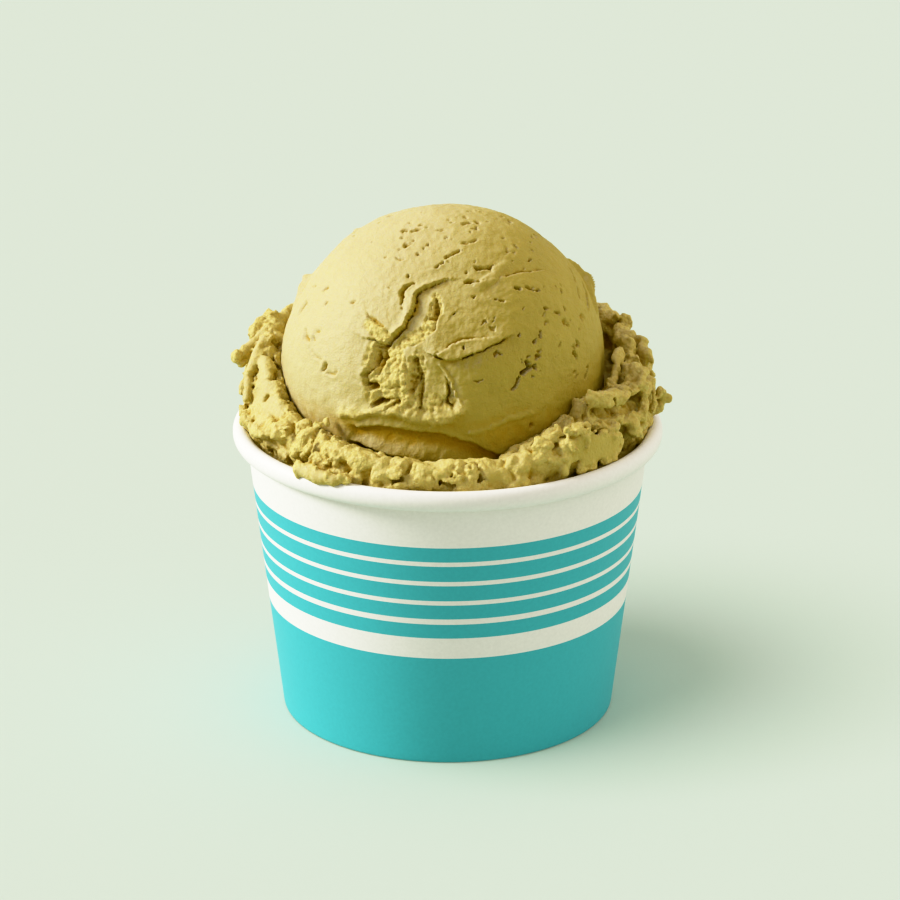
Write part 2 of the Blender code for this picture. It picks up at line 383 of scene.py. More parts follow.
# %% The print's colour
def printed_ink(tree, place):
    """The colour of the print at a height on the wall, white everywhere inside it."""
    parts = add_node(tree, "SeparateXYZ", {"Vector": place})
    share = add_node(tree, "MapRange", {"Value": parts.outputs["Z"], "From Max": CUP_HEIGHT * MM})
    ramp = add_node(tree, "ValToRGB", {"Fac": share.outputs["Result"]})
    ramp.color_ramp.interpolation = "CONSTANT"
    inks = {"teal": TEAL, "white": BOARD_WHITE}
    stops = ramp.color_ramp.elements
    stops[1].position = steps[1][0] / CUP_HEIGHT
    for place_up, ink in steps[2:]:
        stops.new(place_up / CUP_HEIGHT)
    for stop, (_, ink) in zip(stops, steps):
        stop.color = inks[ink]
    from_axis = add_node(tree, "VectorMath", {"Vector": place}, operation="MULTIPLY")
    from_axis.inputs[1].default_value = (1, 1, 0)
    radius = add_node(tree, "VectorMath", {0: from_axis.outputs["Vector"]}, operation="LENGTH")
    # Inside the wall, and under the foot's fold, the board is bare.
    inner = add_node(
        tree, "MapRange", {"Value": parts.outputs["Z"], "From Max": CUP_HEIGHT * MM}, clamp=False
    )
    inner.inputs["To Min"].default_value = (FOOT_RADIUS - 0.2) * MM
    inner.inputs["To Max"].default_value = (wall_radius(CUP_HEIGHT) - 0.2) * MM
    outside = add_node(
        tree, "Math", {0: radius.outputs["Value"], 1: inner.outputs["Result"]}, operation="GREATER_THAN"
    )
    mix = add_node(tree, "MixRGB", {"Fac": outside.outputs["Value"], "Color1": BOARD_WHITE})
    tree.links.new(ramp.outputs["Color"], mix.inputs["Color2"])
    return mix.outputs["Color"]


finish_board(printed_board, board_shader, ink=printed_ink)
plain_board, plain_shader = new_material("plain coated paperboard")
finish_board(plain_board, plain_shader)
base_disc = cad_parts["cup_base"]
base_disc.data.materials.clear()
base_disc.data.materials.append(plain_board)
print("teal", [round(c, 3) for c in TEAL[:3]], "white", [round(c, 3) for c in BOARD_WHITE[:3]])

# %% [markdown]
# ## The gelato
# Gelato is beaten slowly, so it holds little air and is dense and plastic: where the scoop's bowl slid
# over it the skin is smooth, and where the mass tore it is crumbly, like damp sand. The frame's solid
# has the true outline but a plain surface. Four meshes stand for it. The ball is a sphere of points that
# are pushed in and out. The collar has overhangs, which pushing points along one direction can't make,
# so it is sculpted as a field of distances in voxels and then meshed, in a fine front piece and a
# coarser back one. The fill, which the cup hides, is a plain turned solid.
# ### Noise to sculpt with
# Both need two kinds of noise, in millimetres: smooth swells, and rounded grains that crowd each other.
# Both hash each corner of a grid to a random value, so they give the same shape each time.

# %% Noise
HASHES = np.random.default_rng(7).permutation(4096)
SLOPES = np.random.default_rng(11).normal(size=(4096, 3)).astype(np.float32)
SLOPES /= np.linalg.norm(SLOPES, axis=1, keepdims=True)
JITTER = np.random.default_rng(13).random((4096, 3)).astype(np.float32)


def hashed(corner, seed):
    """A table index for each whole-number corner."""
    mixed = HASHES[(corner[..., 0] + 31 * seed) & 4095]
    mixed = HASHES[(mixed + corner[..., 1]) & 4095]
    return HASHES[(mixed + corner[..., 2]) & 4095]


def swell(places, size, seed=0):
    """Gradient noise of about that size, mostly between -0.5 and 0.5."""
    at = (places / size).astype(np.float32)
    low = np.floor(at).astype(np.int64)
    part = at - low
    ease = part**3 * (part * (part * 6 - 15) + 10)
    total = 0
    for corner in np.ndindex(2, 2, 2):
        slope = SLOPES[hashed(low + corner, seed)]
        weight = np.prod(np.where(corner, ease, 1 - ease), axis=-1)
        total = total + weight * np.einsum("...i,...i", slope, part - np.array(corner, np.float32))
    return total


GRAIN_HEART = 0.33  # the mean square distance to the nearest heart


def grains(places, size, seed=0):
    """How far each place is inside its grain: most at its heart, nought on average, least in the cracks."""
    at = (places / size).astype(np.float32)
    low = np.floor(at).astype(np.int64)
    nearest = np.full(at.shape[:-1], 9.0, np.float32)
    for step in np.ndindex(3, 3, 3):
        cell = low + np.array(step) - 1
        heart = cell + JITTER[hashed(cell, seed)]
        nearest = np.minimum(nearest, ((heart - at) ** 2).sum(-1))
    return GRAIN_HEART - nearest


sample = np.random.default_rng(1).random((2000, 3)) * 40
print(f"swell spreads {swell(sample, 3).std():.2f}, grains average {grains(sample, 3).mean():.2f}")

# %% [markdown]
# ### The ball's points
# The ball is a cube whose faces are divided and pushed out to a sphere, so it has no poles. The front
# shows the most, so the points are drawn together there: a turn towards the front, larger in the middle
# of the way round, makes the mesh almost five times as fine at the tear as at the back.

# %% A sphere, finer at the front
BALL_RADIUS = 28.0
BALL_CENTRE = np.array([0, 0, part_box("gelato")[1].z / MM - BALL_RADIUS])
BALL_CUTS = 128
FOCUS = (6, 28)  # azimuth and elevation where the mesh is finest
GATHER = 0.65


def direction(azimuth, elevation):
    """Unit vectors at azimuths, from the front towards the right, and elevations, in degrees."""
    a, e = np.radians(azimuth), np.radians(elevation)
    return np.stack([np.sin(a) * np.cos(e), -np.cos(a) * np.cos(e), np.sin(e) + 0 * a], axis=-1)


def cube_sphere(cuts):
    """Unit vectors over a sphere and the quads between them."""
    ticks = np.arange(cuts + 1)
    across, up = (grid.ravel() for grid in np.meshgrid(ticks, ticks, indexing="ij"))
    corner = (np.arange(cuts)[:, None] * (cuts + 1) + np.arange(cuts)).ravel()
    one_face = np.stack([corner, corner + cuts + 1, corner + cuts + 2, corner + 1], axis=-1)
    points, quads = [], []
    for axis in range(3):
        for end in (0, cuts):
            face = np.empty((len(across), 3), int)
            face[:, axis] = end
            face[:, (axis + 1) % 3] = across
            face[:, (axis + 2) % 3] = up
            quads.append((one_face if end else one_face[:, ::-1]) + len(points) * len(across))
            points.append(face)
    whole, first = np.unique(np.concatenate(points), axis=0, return_inverse=True)
    spread = np.tan((whole / cuts * 2 - 1) * math.pi / 4)
    return spread / np.linalg.norm(spread, axis=1, keepdims=True), first.reshape(-1)[np.concatenate(quads)]


def gathered(directions, focus, gather):
    """The directions, drawn towards the focus."""
    away = np.arccos(np.clip(directions @ focus, -1, 1))
    sideways = directions - (directions @ focus)[:, None] * focus
    sideways /= np.maximum(np.linalg.norm(sideways, axis=1, keepdims=True), 1e-9)
    turned_away = (away - gather * np.sin(away))[:, None]
    return np.cos(turned_away) * focus + np.sin(turned_away) * sideways


sphere, ball_quads = cube_sphere(BALL_CUTS)
sphere = gathered(sphere, direction(*FOCUS), GATHER)
skin = sphere * BALL_RADIUS  # the places of the smooth ball's points, in millimetres from its centre
print(len(skin), "points,", 2 * len(ball_quads), "triangles")

# %% [markdown]
# ### Tears and pits in the ball
# The scoop dragged the skin up and to the right. It stuck at the front, where the skin tore and folded,
# and it opened small cracks along its way higher up. Each of these is a stroke drawn on the ball: a few
# places with a half width and a depth, which is less than nought for a ridge. As one goes along it, a
# stroke can have a lip that stands up on the right hand and a shelf that lies lower on the left. Those
# two are what make a tear read as torn and not as drawn with a pen.

# %% A function that carves a stroke
height = np.zeros(len(skin))  # how far each point stands out from the sphere, in millimetres


def smooth_step(low, high, value):
    """0 below low, 1 above high and an eased way between."""
    t = np.clip((value - low) / (high - low), 0, 1)
    return t * t * (3 - 2 * t)


def stroke_places(places, stroke):
    """Distance of each place from a stroke, which hand it lies on, and the half width and depth there."""
    stroke = np.array(stroke, float)
    ends = BALL_RADIUS * direction(stroke[:, 0], stroke[:, 1])
    off = np.full(len(places), np.inf)
    right, half_width, depth = np.zeros((3, len(places)))
    for i in range(len(ends) - 1):
        run = ends[i + 1] - ends[i]
        share = np.clip((places - ends[i]) @ run / (run @ run), 0, 1)
        gap = places - ends[i] - share[:, None] * run
        reach = np.linalg.norm(gap, axis=1)
        near = reach < off
        off[near] = reach[near]
        right[near] = (gap @ np.cross(run, ends[i]))[near]
        half_width[near] = (stroke[i, 2] + share * (stroke[i + 1, 2] - stroke[i, 2]))[near]
        depth[near] = (stroke[i, 3] + share * (stroke[i + 1, 3] - stroke[i, 3]))[near]
    return off, np.sign(right), half_width, depth


def carve(stroke, lip=(0, 1), shelf=(0, 1)):
    """Cuts a steep-walled groove along a stroke; lip and shelf are (height, reach) in millimetres."""
    middle = BALL_RADIUS * direction(*np.mean(stroke, axis=0)[:2])
    span = max(np.linalg.norm(BALL_RADIUS * direction(*point[:2]) - middle) for point in stroke)
    near = np.linalg.norm(frayed - middle, axis=1) < span + 2.5 * max(1.5, lip[1], shelf[1])
    off, right, half_width, depth = stroke_places(frayed[near], stroke)
    shown = np.abs(depth) / np.abs(depth).max()
    floor = 0.7 + 0.3 * np.clip(1 - off / half_width, 0, 1)
    groove = depth * floor * (1 - smooth_step(0.55, 1.0, off / half_width))
    past = np.clip(off - 0.7 * half_width, 0, None)
    lift = lip[0] * shown * np.exp(-((past / lip[1]) ** 2)) * (right > 0)
    drop = shelf[0] * shown * np.exp(-((past / shelf[1]) ** 2)) * (right <= 0)
    height[near] += lift - drop - groove


def pit(azimuth, elevation, half_width, depth, along=1.0, lip=0.06, bend=0.0):
    """A bent pit, drawn out by a length in millimetres along the scoop's way, a little uphill."""
    turn = math.degrees(along / BALL_RADIUS) / 2
    step = (turn / max(0.1, math.cos(math.radians(elevation))), 0.25 * turn)
    start = (azimuth - step[0], elevation - step[1], 0.7 * half_width, 0.8 * depth)
    middle = (azimuth, elevation + bend * turn, 1.2 * half_width, depth)
    end = (azimuth + step[0], min(89.5, elevation + step[1]), 0.6 * half_width, 0.7 * depth)
    carve((start, middle, end), lip=(lip, 0.5))


# %% [markdown]
# Edges that tear are ragged. Instead of drawing ragged strokes, the places are shaken a little before
# they are compared with a stroke: swells of three sizes move them up to half a millimetre, so every edge
# frays alike. The skin itself isn't a perfect sphere either. Broad swells dent it, and beside the tear
# it sags.

# %% The frayed places, and the broad dents
def shaken(places, amounts, seed=0):
    """The places moved about by swells of each (size, distance)."""
    moved = places.copy()
    for i, (size, distance) in enumerate(amounts):
        for axis in range(3):
            moved[:, axis] += distance * swell(places, size, seed + 5 * i + axis)
    return moved


def ball_lean(sideways, upward):
    """How far the ball bulges to the left at its middle height, in millimetres."""
    return -0.85 * sideways * np.exp(-(((upward - 0.05) / 0.42) ** 2))


frayed = shaken(skin, ((4.0, 0.8), (1.4, 0.4), (0.6, 0.2)), seed=20)
height += 0.45 * swell(skin, 13, 1) + 0.2 * swell(skin, 5, 2)
height += 0.14 * swell(skin, 1.7, 12) + 0.1 * swell(skin, 0.8, 13)
DENTS = (
    # azimuth, elevation, reach and depth: right of the tear, under the tongue, a swelling at the left,
    # above the band, and in the torn patch
    (4, 42, 9.0, 0.9),
    (20, 12, 12.0, 0.5),
    (-52, 30, 11.0, -0.5),
    (-8, -2, 8.0, 0.3),
    (-3.5, 12, 3.4, 0.5),
)
for azimuth, elevation, reach, depth in DENTS:
    away = np.linalg.norm(skin - BALL_RADIUS * direction(azimuth, elevation), axis=1)
    height -= depth * np.exp(-((away / reach) ** 2))
level_share = np.maximum(np.hypot(sphere[:, 0], sphere[:, 1]), 0.03)
height += ball_lean(sphere[:, 0] / level_share, sphere[:, 2])
print(f"swells from {height.min():.2f} to {height.max():.2f} mm")

# %% The main tear
MAIN_TEAR = (
    (0.2, 50.2, 0.15, 0.3), (-7.5, 48.8, 0.22, 0.6), (-13, 46.1, 0.25, 0.8), (-15.7, 42.9, 0.3, 0.9),
    (-16.2, 39, 0.3, 1.0), (-16.6, 35.2, 0.3, 1.0), (-18.2, 31.7, 0.4, 1.1), (-21, 28.8, 0.5, 1.2),
    (-24, 25.4, 0.4, 1.0), (-31.8, 26.2, 0.2, 0.4),
)
carve(MAIN_TEAR, lip=(0.55, 0.9), shelf=(0.8, 2.6))
TEARS = (
    # the crack that runs parallel on the left, and the upper edge of the torn flap
    ((-18.4, 48.4, 0.22, 0.4), (-21.2, 47.6, 0.4, 0.7), (-22.4, 45.1, 0.45, 0.7),
     (-21.1, 42.4, 0.3, 0.6), (-20.2, 38, 0.15, 0.2)),
    ((-35.1, 34.6, 0.25, 0.3), (-31.1, 32, 0.3, 0.45), (-27.2, 30.5, 0.3, 0.5),
     (-24.4, 29.8, 0.2, 0.4)),
    # a cavity and a slit right of the tear
    ((-6.3, 43.8, 0.35, 0.6), (-5.8, 40, 0.6, 1.0), (-5.5, 36, 0.7, 1.1), (-7.3, 35.7, 0.3, 0.5)),
    ((3, 38.4, 0.2, 0.6), (0.7, 35.8, 0.25, 0.7)),
    # cracks of the upper right, along the scoop's way
    ((11.7, 65.6, 0.3, 0.7), (20, 66.2, 0.22, 0.6), (27, 66.8, 0.22, 0.6), (34, 67.2, 0.18, 0.4)),
    ((-0.5, 60.8, 0.3, 0.9), (3.5, 61.8, 0.35, 1.0), (7.2, 62.8, 0.25, 0.8)),
    ((-11, 55, 0.18, 0.5), (-7, 56.5, 0.22, 0.6), (-3, 58.5, 0.2, 0.6)),
    ((18.2, 54.8, 0.35, 1.2), (21.8, 54.5, 0.35, 1.2), (25.4, 54.2, 0.3, 1.0), (28, 55, 0.15, 0.5)),
    ((9.7, 49.7, 0.25, 0.7), (13, 49.5, 0.35, 1.0), (16.8, 49.3, 0.25, 0.7)),
    ((19, 43.5, 0.18, 0.4), (23, 42.5, 0.18, 0.5), (27, 41, 0.25, 0.6)),
    ((-53, 69, 0.35, 0.7), (-49, 70.5, 0.4, 0.8)),
    ((-41, 71, 0.4, 0.9), (-35, 72.5, 0.4, 0.9)),
    ((30, 77.1, 0.5, 0.8), (37.9, 77, 0.35, 0.6)),
    # pits of the right side, and the notch low on it with the line that runs out of it
    ((45.5, 34.5, 0.3, 1.2), (48, 33, 0.3, 1.2), (52, 31.5, 0.3, 1.1), (52.5, 33, 0.2, 0.6)),
    ((41, 43.5, 0.22, 0.6), (43, 42, 0.3, 1.0), (46, 41.5, 0.3, 0.9), (47, 42.5, 0.2, 0.6)),
    ((39, 28, 0.25, 1.1), (38.5, 25.5, 0.25, 1.0)),
    ((35.3, 44.3, 0.45, 1.6), (36.7, 43.9, 0.4, 1.5)),
    ((54.2, 16, 0.3, 1.3), (55.4, 13.3, 0.35, 1.5)),
    ((62.3, 8, 0.2, 0.8), (60.8, 6.5, 0.2, 0.8), (59.5, 5, 0.35, 1.1)),
    ((83, 31, 0.3, 0.9), (80, 28, 0.25, 0.8), (77, 25, 0.2, 0.7)),
    ((30.8, 18.3, 0.45, 1.5), (31.6, 16.3, 0.6, 2.0), (28.3, 14.3, 0.5, 1.5)),
    ((31.5, 18, 0.3, 1.2), (33.5, 16.5, 0.35, 1.3), (35.7, 14.1, 0.2, 0.8)),
    ((27, 14, 0.25, 0.5), (26.4, 12.5, 0.3, 0.7), (25.5, 10.7, 0.35, 0.9), (23.2, 9.4, 0.3, 0.7),
     (19.9, 9.3, 0.2, 0.4)),
    # dents down the left side
    ((-61, 33.5, 0.25, 0.4), (-58.8, 33.2, 0.3, 0.5), (-59.6, 31.1, 0.25, 0.4)),
    ((-64.1, 21.6, 0.3, 0.4), (-62.5, 20, 0.45, 0.6), (-59.6, 18.9, 0.4, 0.5)),
    ((-58.2, 22.4, 0.25, 0.4), (-56.6, 22.9, 0.25, 0.4)),
    ((-57.8, 20.6, 0.3, 0.5), (-57.2, 19.9, 0.3, 0.4)),
    ((-57.5, 16.7, 0.15, 0.25), (-52.5, 14.5, 0.22, 0.35), (-50, 14.0, 0.2, 0.3)),
    ((-47.6, 13.4, 0.35, 0.5), (-48.2, 11.1, 0.35, 0.5)),
    ((-46, 10.6, 0.2, 0.3), (-43.4, 10.4, 0.25, 0.35), (-42.5, 12.4, 0.15, 0.25)),
    ((-76, 27.5, 0.6, 0.7), (-77, 24.5, 0.5, 0.6)),
    # two grooves that run up to the fold at the right
    ((85, 40.3, 0.3, 0.5), (77, 35.6, 0.35, 0.5), (70.8, 30, 0.2, 0.3)),
    ((87.7, 33.5, 0.35, 0.6), (82.4, 28.9, 0.4, 0.7), (77.4, 25.2, 0.25, 0.4)),
)
OPENED, DEEPENED = 1.15, 1.4  # the cracks opened and sank a little more as the skin set
for tear in TEARS:
    opened = [(a, e, OPENED * half_width, DEEPENED * depth) for a, e, half_width, depth in tear]
    carve(opened, lip=(0.12, 0.6))
PITS = (
    # azimuth, elevation, half width, depth and length
    (58, 40, 0.25, 0.8, 0.8), (62, 37, 0.25, 0.8, 0.8), (57, 32, 0.25, 1.0, 0.3),
     (35, 25, 0.3, 0.9, 0.8),
    (48, 20, 0.2, 0.7, 1.2), (58, 19, 0.3, 1.2, 0.3), (55, 18, 0.25, 1.0, 0.3),
     (62, 22, 0.22, 0.8, 0.3),
    (44, 29, 0.3, 0.5, 1.2), (53, 10, 0.3, 0.6, 0.5), (45, 59, 0.4, 0.5, 1.5), (50, 76, 0.35, 0.6, 0.8),
    (-34, 65, 0.4, 0.9, 1.0), (-66, 15, 0.18, 0.5, 0.2), (33, 22, 0.2, 0.6, 0.8),
     (29, 28, 0.22, 0.8, 0.8),
    (32, 26, 0.2, 0.7, 0.8), (16, 33, 0.3, 0.5, 0.8), (19, 31.5, 0.35, 0.4, 0.8),
     (12, 20, 0.15, 0.4, 0.2),
)
BENDS = (-0.9, 0.6, 1.2)
for i, spot in enumerate(PITS):
    pit(*spot, bend=BENDS[i % len(BENDS)])
print(f"carved down to {height.min():.1f} mm")

# %% [markdown]
# On the right a tongue of skin slid over the rest: a long crack under it, the tongue raised above the
# crack, and a faint upper edge where it came loose. Higher up, one band is raised beside a step that
# lies lower.

# %% The tongue and the step
TONGUE_CRACK = (
    (22, 27, 0.3, 1.0), (18, 25.5, 0.2, 0.7), (14, 24, 0.25, 1.0), (9, 22.3, 0.25, 1.1),
     (5, 21, 0.25, 1.1),
    (0, 21, 0.25, 1.1), (-4, 22.5, 0.25, 0.8),
)
TONGUE_TOP = ((-4, 23, 0.3, 0.1), (1, 25.5, 0.4, 0.3), (7, 28, 0.4, 0.3), (16, 28.5, 0.3, 0.1))
RAISED_BAND = ((16, 47.5, 0.9, -0.25), (23, 50, 1.1, -0.4), (38, 55, 0.7, -0.15))
SUNKEN_STEP = (
    (62, 46, 0.2, 0.3), (57, 48, 0.22, 0.7), (50, 48.5, 0.22, 0.6), (43, 49.5, 0.25, 0.7),
     (32, 50, 0.2, 0.4),
)
carve(TONGUE_CRACK, lip=(0.6, 1.4), shelf=(0.3, 2.0))
carve(TONGUE_TOP, lip=(0.25, 0.8), shelf=(0.2, 2.0))
carve(RAISED_BAND)
carve(SUNKEN_STEP, lip=(-0.4, 2.5))
print(f"the highest point stands out by {height.max():.1f} mm")

# %% [markdown]
# ### The crumbly hollow
# Under the main tear the skin came away and shows the inside: two hollows in a patch of crumbs. The
# patch is a few fat strokes that say how torn each place is, from 0 to 1. There the grains stand out:
# three sizes of them add up, and a fourth is taken away, which leaves small holes between the crumbs.

# %% The torn patch
HOLLOWS = (
    # the cliff at the left of the patch, and the dark of the first hollow
    ((-28.5, 24.2, 0.5, 0.9), (-27.6, 20.7, 0.8, 1.3), (-28, 17, 0.7, 1.3), (-30.5, 12.9, 0.45, 1.0),
     (-29, 9.8, 0.5, 1.3)),
    ((-26.2, 24.5, 0.9, 1.2), (-25.4, 20.9, 1.2, 1.5), (-25.6, 17.4, 1.0, 1.3), (-26.2, 14, 0.6, 0.8)),
    ((-29, 9.8, 0.45, 1.6), (-27.5, 9.4, 0.6, 1.9), (-25.2, 9.3, 0.4, 1.2)),
    # the dark hole under it, and a shallow one beside that
    ((-26, 3.7, 0.5, 1.7), (-24, 5, 0.7, 2.2), (-21.7, 5.6, 0.6, 1.8)),
    ((-18.8, 4.4, 0.6, 0.9), (-17.2, 5.6, 0.5, 0.9)),
    # the second hollow, and the thin one along the skin's edge
    ((-11.6, 20.4, 0.9, 1.2), (-11.2, 17.3, 1.3, 1.7), (-12.0, 13.6, 1.3, 1.6), (-12.8, 9.5, 0.8, 1.1)),
    ((-9.4, 15.3, 0.7, 1.1), (-9.3, 9.8, 0.6, 1.0), (-10.1, 3, 0.35, 0.9)),
    ((0, 13, 0.3, 0.7), (0.5, 9.5, 0.4, 1.1), (-0.5, 5.4, 0.45, 1.1), (2, 3.8, 0.35, 0.9)),
)
for dip in HOLLOWS:
    carve(dip, lip=(0.2, 0.6), shelf=(0.3, 1.5))
RAISED_EDGES = (
    # the flap, the bright ridge between the hollows, and the skin's edge
    ((-32, 30.8, 0.6, -0.35), (-27.3, 28.9, 0.8, -0.45), (-24.4, 27.2, 0.6, -0.35)),
    ((-16.4, 22, 0.5, -0.4), (-15.7, 15, 0.6, -0.6), (-16, 10, 0.4, -0.4)),
    ((-2.6, 19.1, 0.3, -0.25), (1.8, 14, 0.35, -0.4), (2.8, 8, 0.35, -0.45), (5.1, 4.3, 0.3, -0.4)),
    ((101, 40, 0.5, -0.4), (101.5, 36.5, 0.9, -0.9), (99, 32.3, 1.0, -1.0), (93, 28, 0.9, -0.8),
     (88, 22, 0.6, -0.5)),
    ((-112, 52, 0.4, -0.4), (-113, 53.5, 0.3, -0.3)),
)
for edge in RAISED_EDGES:
    carve(edge)
TORN = (
    ((-27.5, 24, 2.0, 1), (-25, 16, 3.0, 1), (-24, 8, 2.8, 1), (-16, 6, 2.4, 1), (-8, 6, 2.2, 1),
     (1, 6, 1.2, 1)),
    ((-20, 22, 2.0, 1), (-18, 14, 2.6, 1), (-12, 14, 2.6, 1), (-11, 20, 1.8, 1)),
    ((-33, 31, 0.8, 1), (-29, 29, 1.4, 1), (-25, 27.5, 1.2, 1)),
    ((-6, 45, 0.8, 1), (-6, 38, 1.4, 1), (-8, 33, 1.3, 1), (-12, 29, 1.4, 1), (-18, 26, 1.2, 1)),
)
torn = np.zeros(len(skin))
for stroke in TORN:
    off, _, half_width, _ = stroke_places(frayed, stroke)
    torn = np.maximum(torn, 1 - smooth_step(0.7, 1.05, off / half_width))


def crumble(places, seed):
    """Crumbs and the holes between them, as a height in millimetres round nought."""
    clods = 0.8 * grains(places, 2.4, seed) + 0.8 * grains(places, 1.2, seed + 1)
    return clods + 0.5 * grains(places, 0.65, seed + 2) - 0.5 * grains(places, 0.95, seed + 3)


crumbs = crumble(frayed, 3)
height += torn * (0.7 * crumbs - 0.25)
print(f"{100 * torn.mean():.0f} percent of the ball's points are torn")

# %% [markdown]
# ### The foot of the ball
# Below the patch the skin folds out in a ragged lip. Under the lip the scoop's rim left a smooth band,
# which lies behind the fold and runs down to the right until it slips under the ball. Its lower edge is
# frayed too.

# %% The lip and the band
azimuth = np.degrees(np.arctan2(frayed[:, 0], -frayed[:, 1]))
elevation = np.degrees(np.arcsin(np.clip(frayed[:, 2] / np.linalg.norm(frayed, axis=1), -1, 1)))
lip_line = np.interp(azimuth, (-40, -33, -26, -18, -11, -5, 0, 7), (-1.5, -1, 1.5, 1.8, 0.5, -0.5, 0.5, 3.5))
lip_shown = smooth_step(-42, -36, azimuth) * (1 - smooth_step(4, 9, azimuth))
lip = np.exp(-(((elevation - lip_line) / np.where(elevation > lip_line, 2.6, 1.5)) ** 2)) * lip_shown
height += lip * (0.7 + 0.5 * crumbs)
fold_line = np.interp(azimuth, (-40, -31, -16, -3, 6, 14, 23, 32), (-4, -5, -3.5, -5, -8, -12, -17, -22))
under = fold_line - elevation
band_shown = smooth_step(-38, -32, azimuth) * (1 - smooth_step(22, 30, azimuth))
band = -0.8 * smooth_step(0, 1.0, under) + 1.3 * smooth_step(2, 11, under)
band_edge = np.interp(azimuth, (-40, -34, -18, -3, 11, 30), (-9, -11.5, -14.5, -16.5, -20, -24))
past_edge = smooth_step(0, 1.5, band_edge - elevation)
height += band_shown * (band * (1 - past_edge) - 2.6 * past_edge)
carve(((8, -5, 0.7, -0.2), (20, -3, 0.7, -0.3), (31, -0.5, 0.6, -0.2)))
torn = np.maximum(torn, 0.8 * lip)
print(f"the lip stands out by up to {(lip * (0.7 + 0.5 * crumbs)).max():.1f} mm")

# %% [markdown]
# ### The back of the ball, and small pits
# Where the scoop closed, a low ragged ridge climbs both sides and runs on over the back. Small air pits
# are strewn over the skin, most of them high up and on the right. They are random, from a fixed seed.

# %% The ridge and the small pits
SEAM_HEIGHT = 1.2
past_side = np.abs(azimuth)
seam_line = np.interp(past_side, (90, 99, 110, 130, 180), (22, 31, 27, 22, 24))
seam_off = (elevation - seam_line) * math.radians(BALL_RADIUS)
seam = smooth_step(88, 97, past_side) * np.exp(-((seam_off / np.where(seam_off > 0, 0.8, 1.6)) ** 2))
height += seam * (SEAM_HEIGHT * (0.8 + 0.6 * grains(skin, 3.4, 8)) + 0.4 * crumbs)

SMALL_PITS = 1100
dice = np.random.default_rng(42)
pit_azimuths = dice.uniform(-180, 180, SMALL_PITS)
pit_elevations = np.degrees(np.arcsin(dice.uniform(-0.1, 0.995, SMALL_PITS)))
likely = 0.06 + 0.6 * smooth_step(45, 75, pit_elevations) + 0.35 * smooth_step(5, 45, pit_azimuths)
kept = dice.random(SMALL_PITS) < likely
for pit_azimuth, pit_elevation in zip(pit_azimuths[kept], pit_elevations[kept]):
    wide = 0.17 + 0.2 * dice.random() ** 2
    sunk = dice.uniform(1.6, 3.0) * wide
    drawn_out = 1.4 * dice.random() ** 2
    pit(pit_azimuth, pit_elevation, wide, sunk, drawn_out, lip=0.04, bend=dice.uniform(-1.5, 1.5))
print(kept.sum(), "small pits")

# %% [markdown]
# ### The look of gelato
# Pistachio gelato is a paste of fat, sugar and ground nuts round tiny ice crystals. Light goes a
# millimetre or two into it and comes out yellower, so thin crumbs and edges glow. That is subsurface
# scattering, with red and green light going further than blue. The surface is damp, with a broad dull
# sheen, and the grain that it shows is ice and nut, a third of a millimetre across: a low bump over the
# mesh.
#
# Its colour isn't even. The skin that turns to the key light is painted paler, as painted light, and the
# skin turned away keeps a darker, more golden tone, as painted shade. Crumbs are paler than the skin, as
# they broke off from its dry inside. The hollows get painted shade: olive gold, and brown where they are
# deepest. Crumbs too small for the mesh are a pattern of cells: their gaps get a little of the same
# painted shade, and a bump gives them their shape.

# %% The gelato's material
# Painted light and shade: the first two are a shaded and a lit tone of the skin, chosen by how a face turns
# to the key light; the deep and syrup colours paint shade into hollows.
SHADED_SIDE_PISTACHIO = linear("#AF9E46")
PAINTED_LIT_PISTACHIO = linear("#C3B687")
CRUMBLED_PISTACHIO = linear("#D2C276")
PAINTED_SHADE_PISTACHIO = linear("#A98A14")
PAINTED_PIT_SHADE = linear("#6E4E0A")
KEY_LIGHT_SIDE = (-0.85, -0.05, 0.52)  # the key light's direction from the gelato: faces turned to it are painted paler
SHADED_BELOW, LIT_ABOVE = 0.1, 0.7  # how far a face turns to it
ICE_GRAIN = 0.35  # millimetres across
ICE_DEPTH = 0.14  # millimetres
CRUMBS_OWN = 0.7  # how much of their own colour crumbs have
CRUMB_SIZE = 0.6  # millimetres across, as the finest crumbs of real gelato are
CRUMB_DEPTH = 0.16  # millimetres
PAINTED_LIGHT_FADES_FROM, PAINTED_LIGHT_FADES_TO = 0.1, 0.35  # millimetres below the surface round a point
# Depths in millimetres where the olive-gold painted shade and the darker brown painted shade begin and are
# full.
SHADE_FROM, SHADE_FULL = 0.02, 0.42
PIT_SHADE_FROM, PIT_SHADE_FULL = 0.5, 1.3
gelato_mass, gelato_shader = new_material(
    "pistachio gelato",
    **{
        "Roughness": 0.6,
        "IOR": 1.45,
        "Specular IOR Level": 0.5,
        "Subsurface Weight": 0.3,
        "Subsurface Radius": (1.0, 0.7, 0.25),
        "Subsurface Scale": 0.32 * MM,
    },
)
tree = gelato_mass.node_tree
print("light goes about", round(gelato_shader.inputs["Subsurface Scale"].default_value / MM, 2), "mm in")
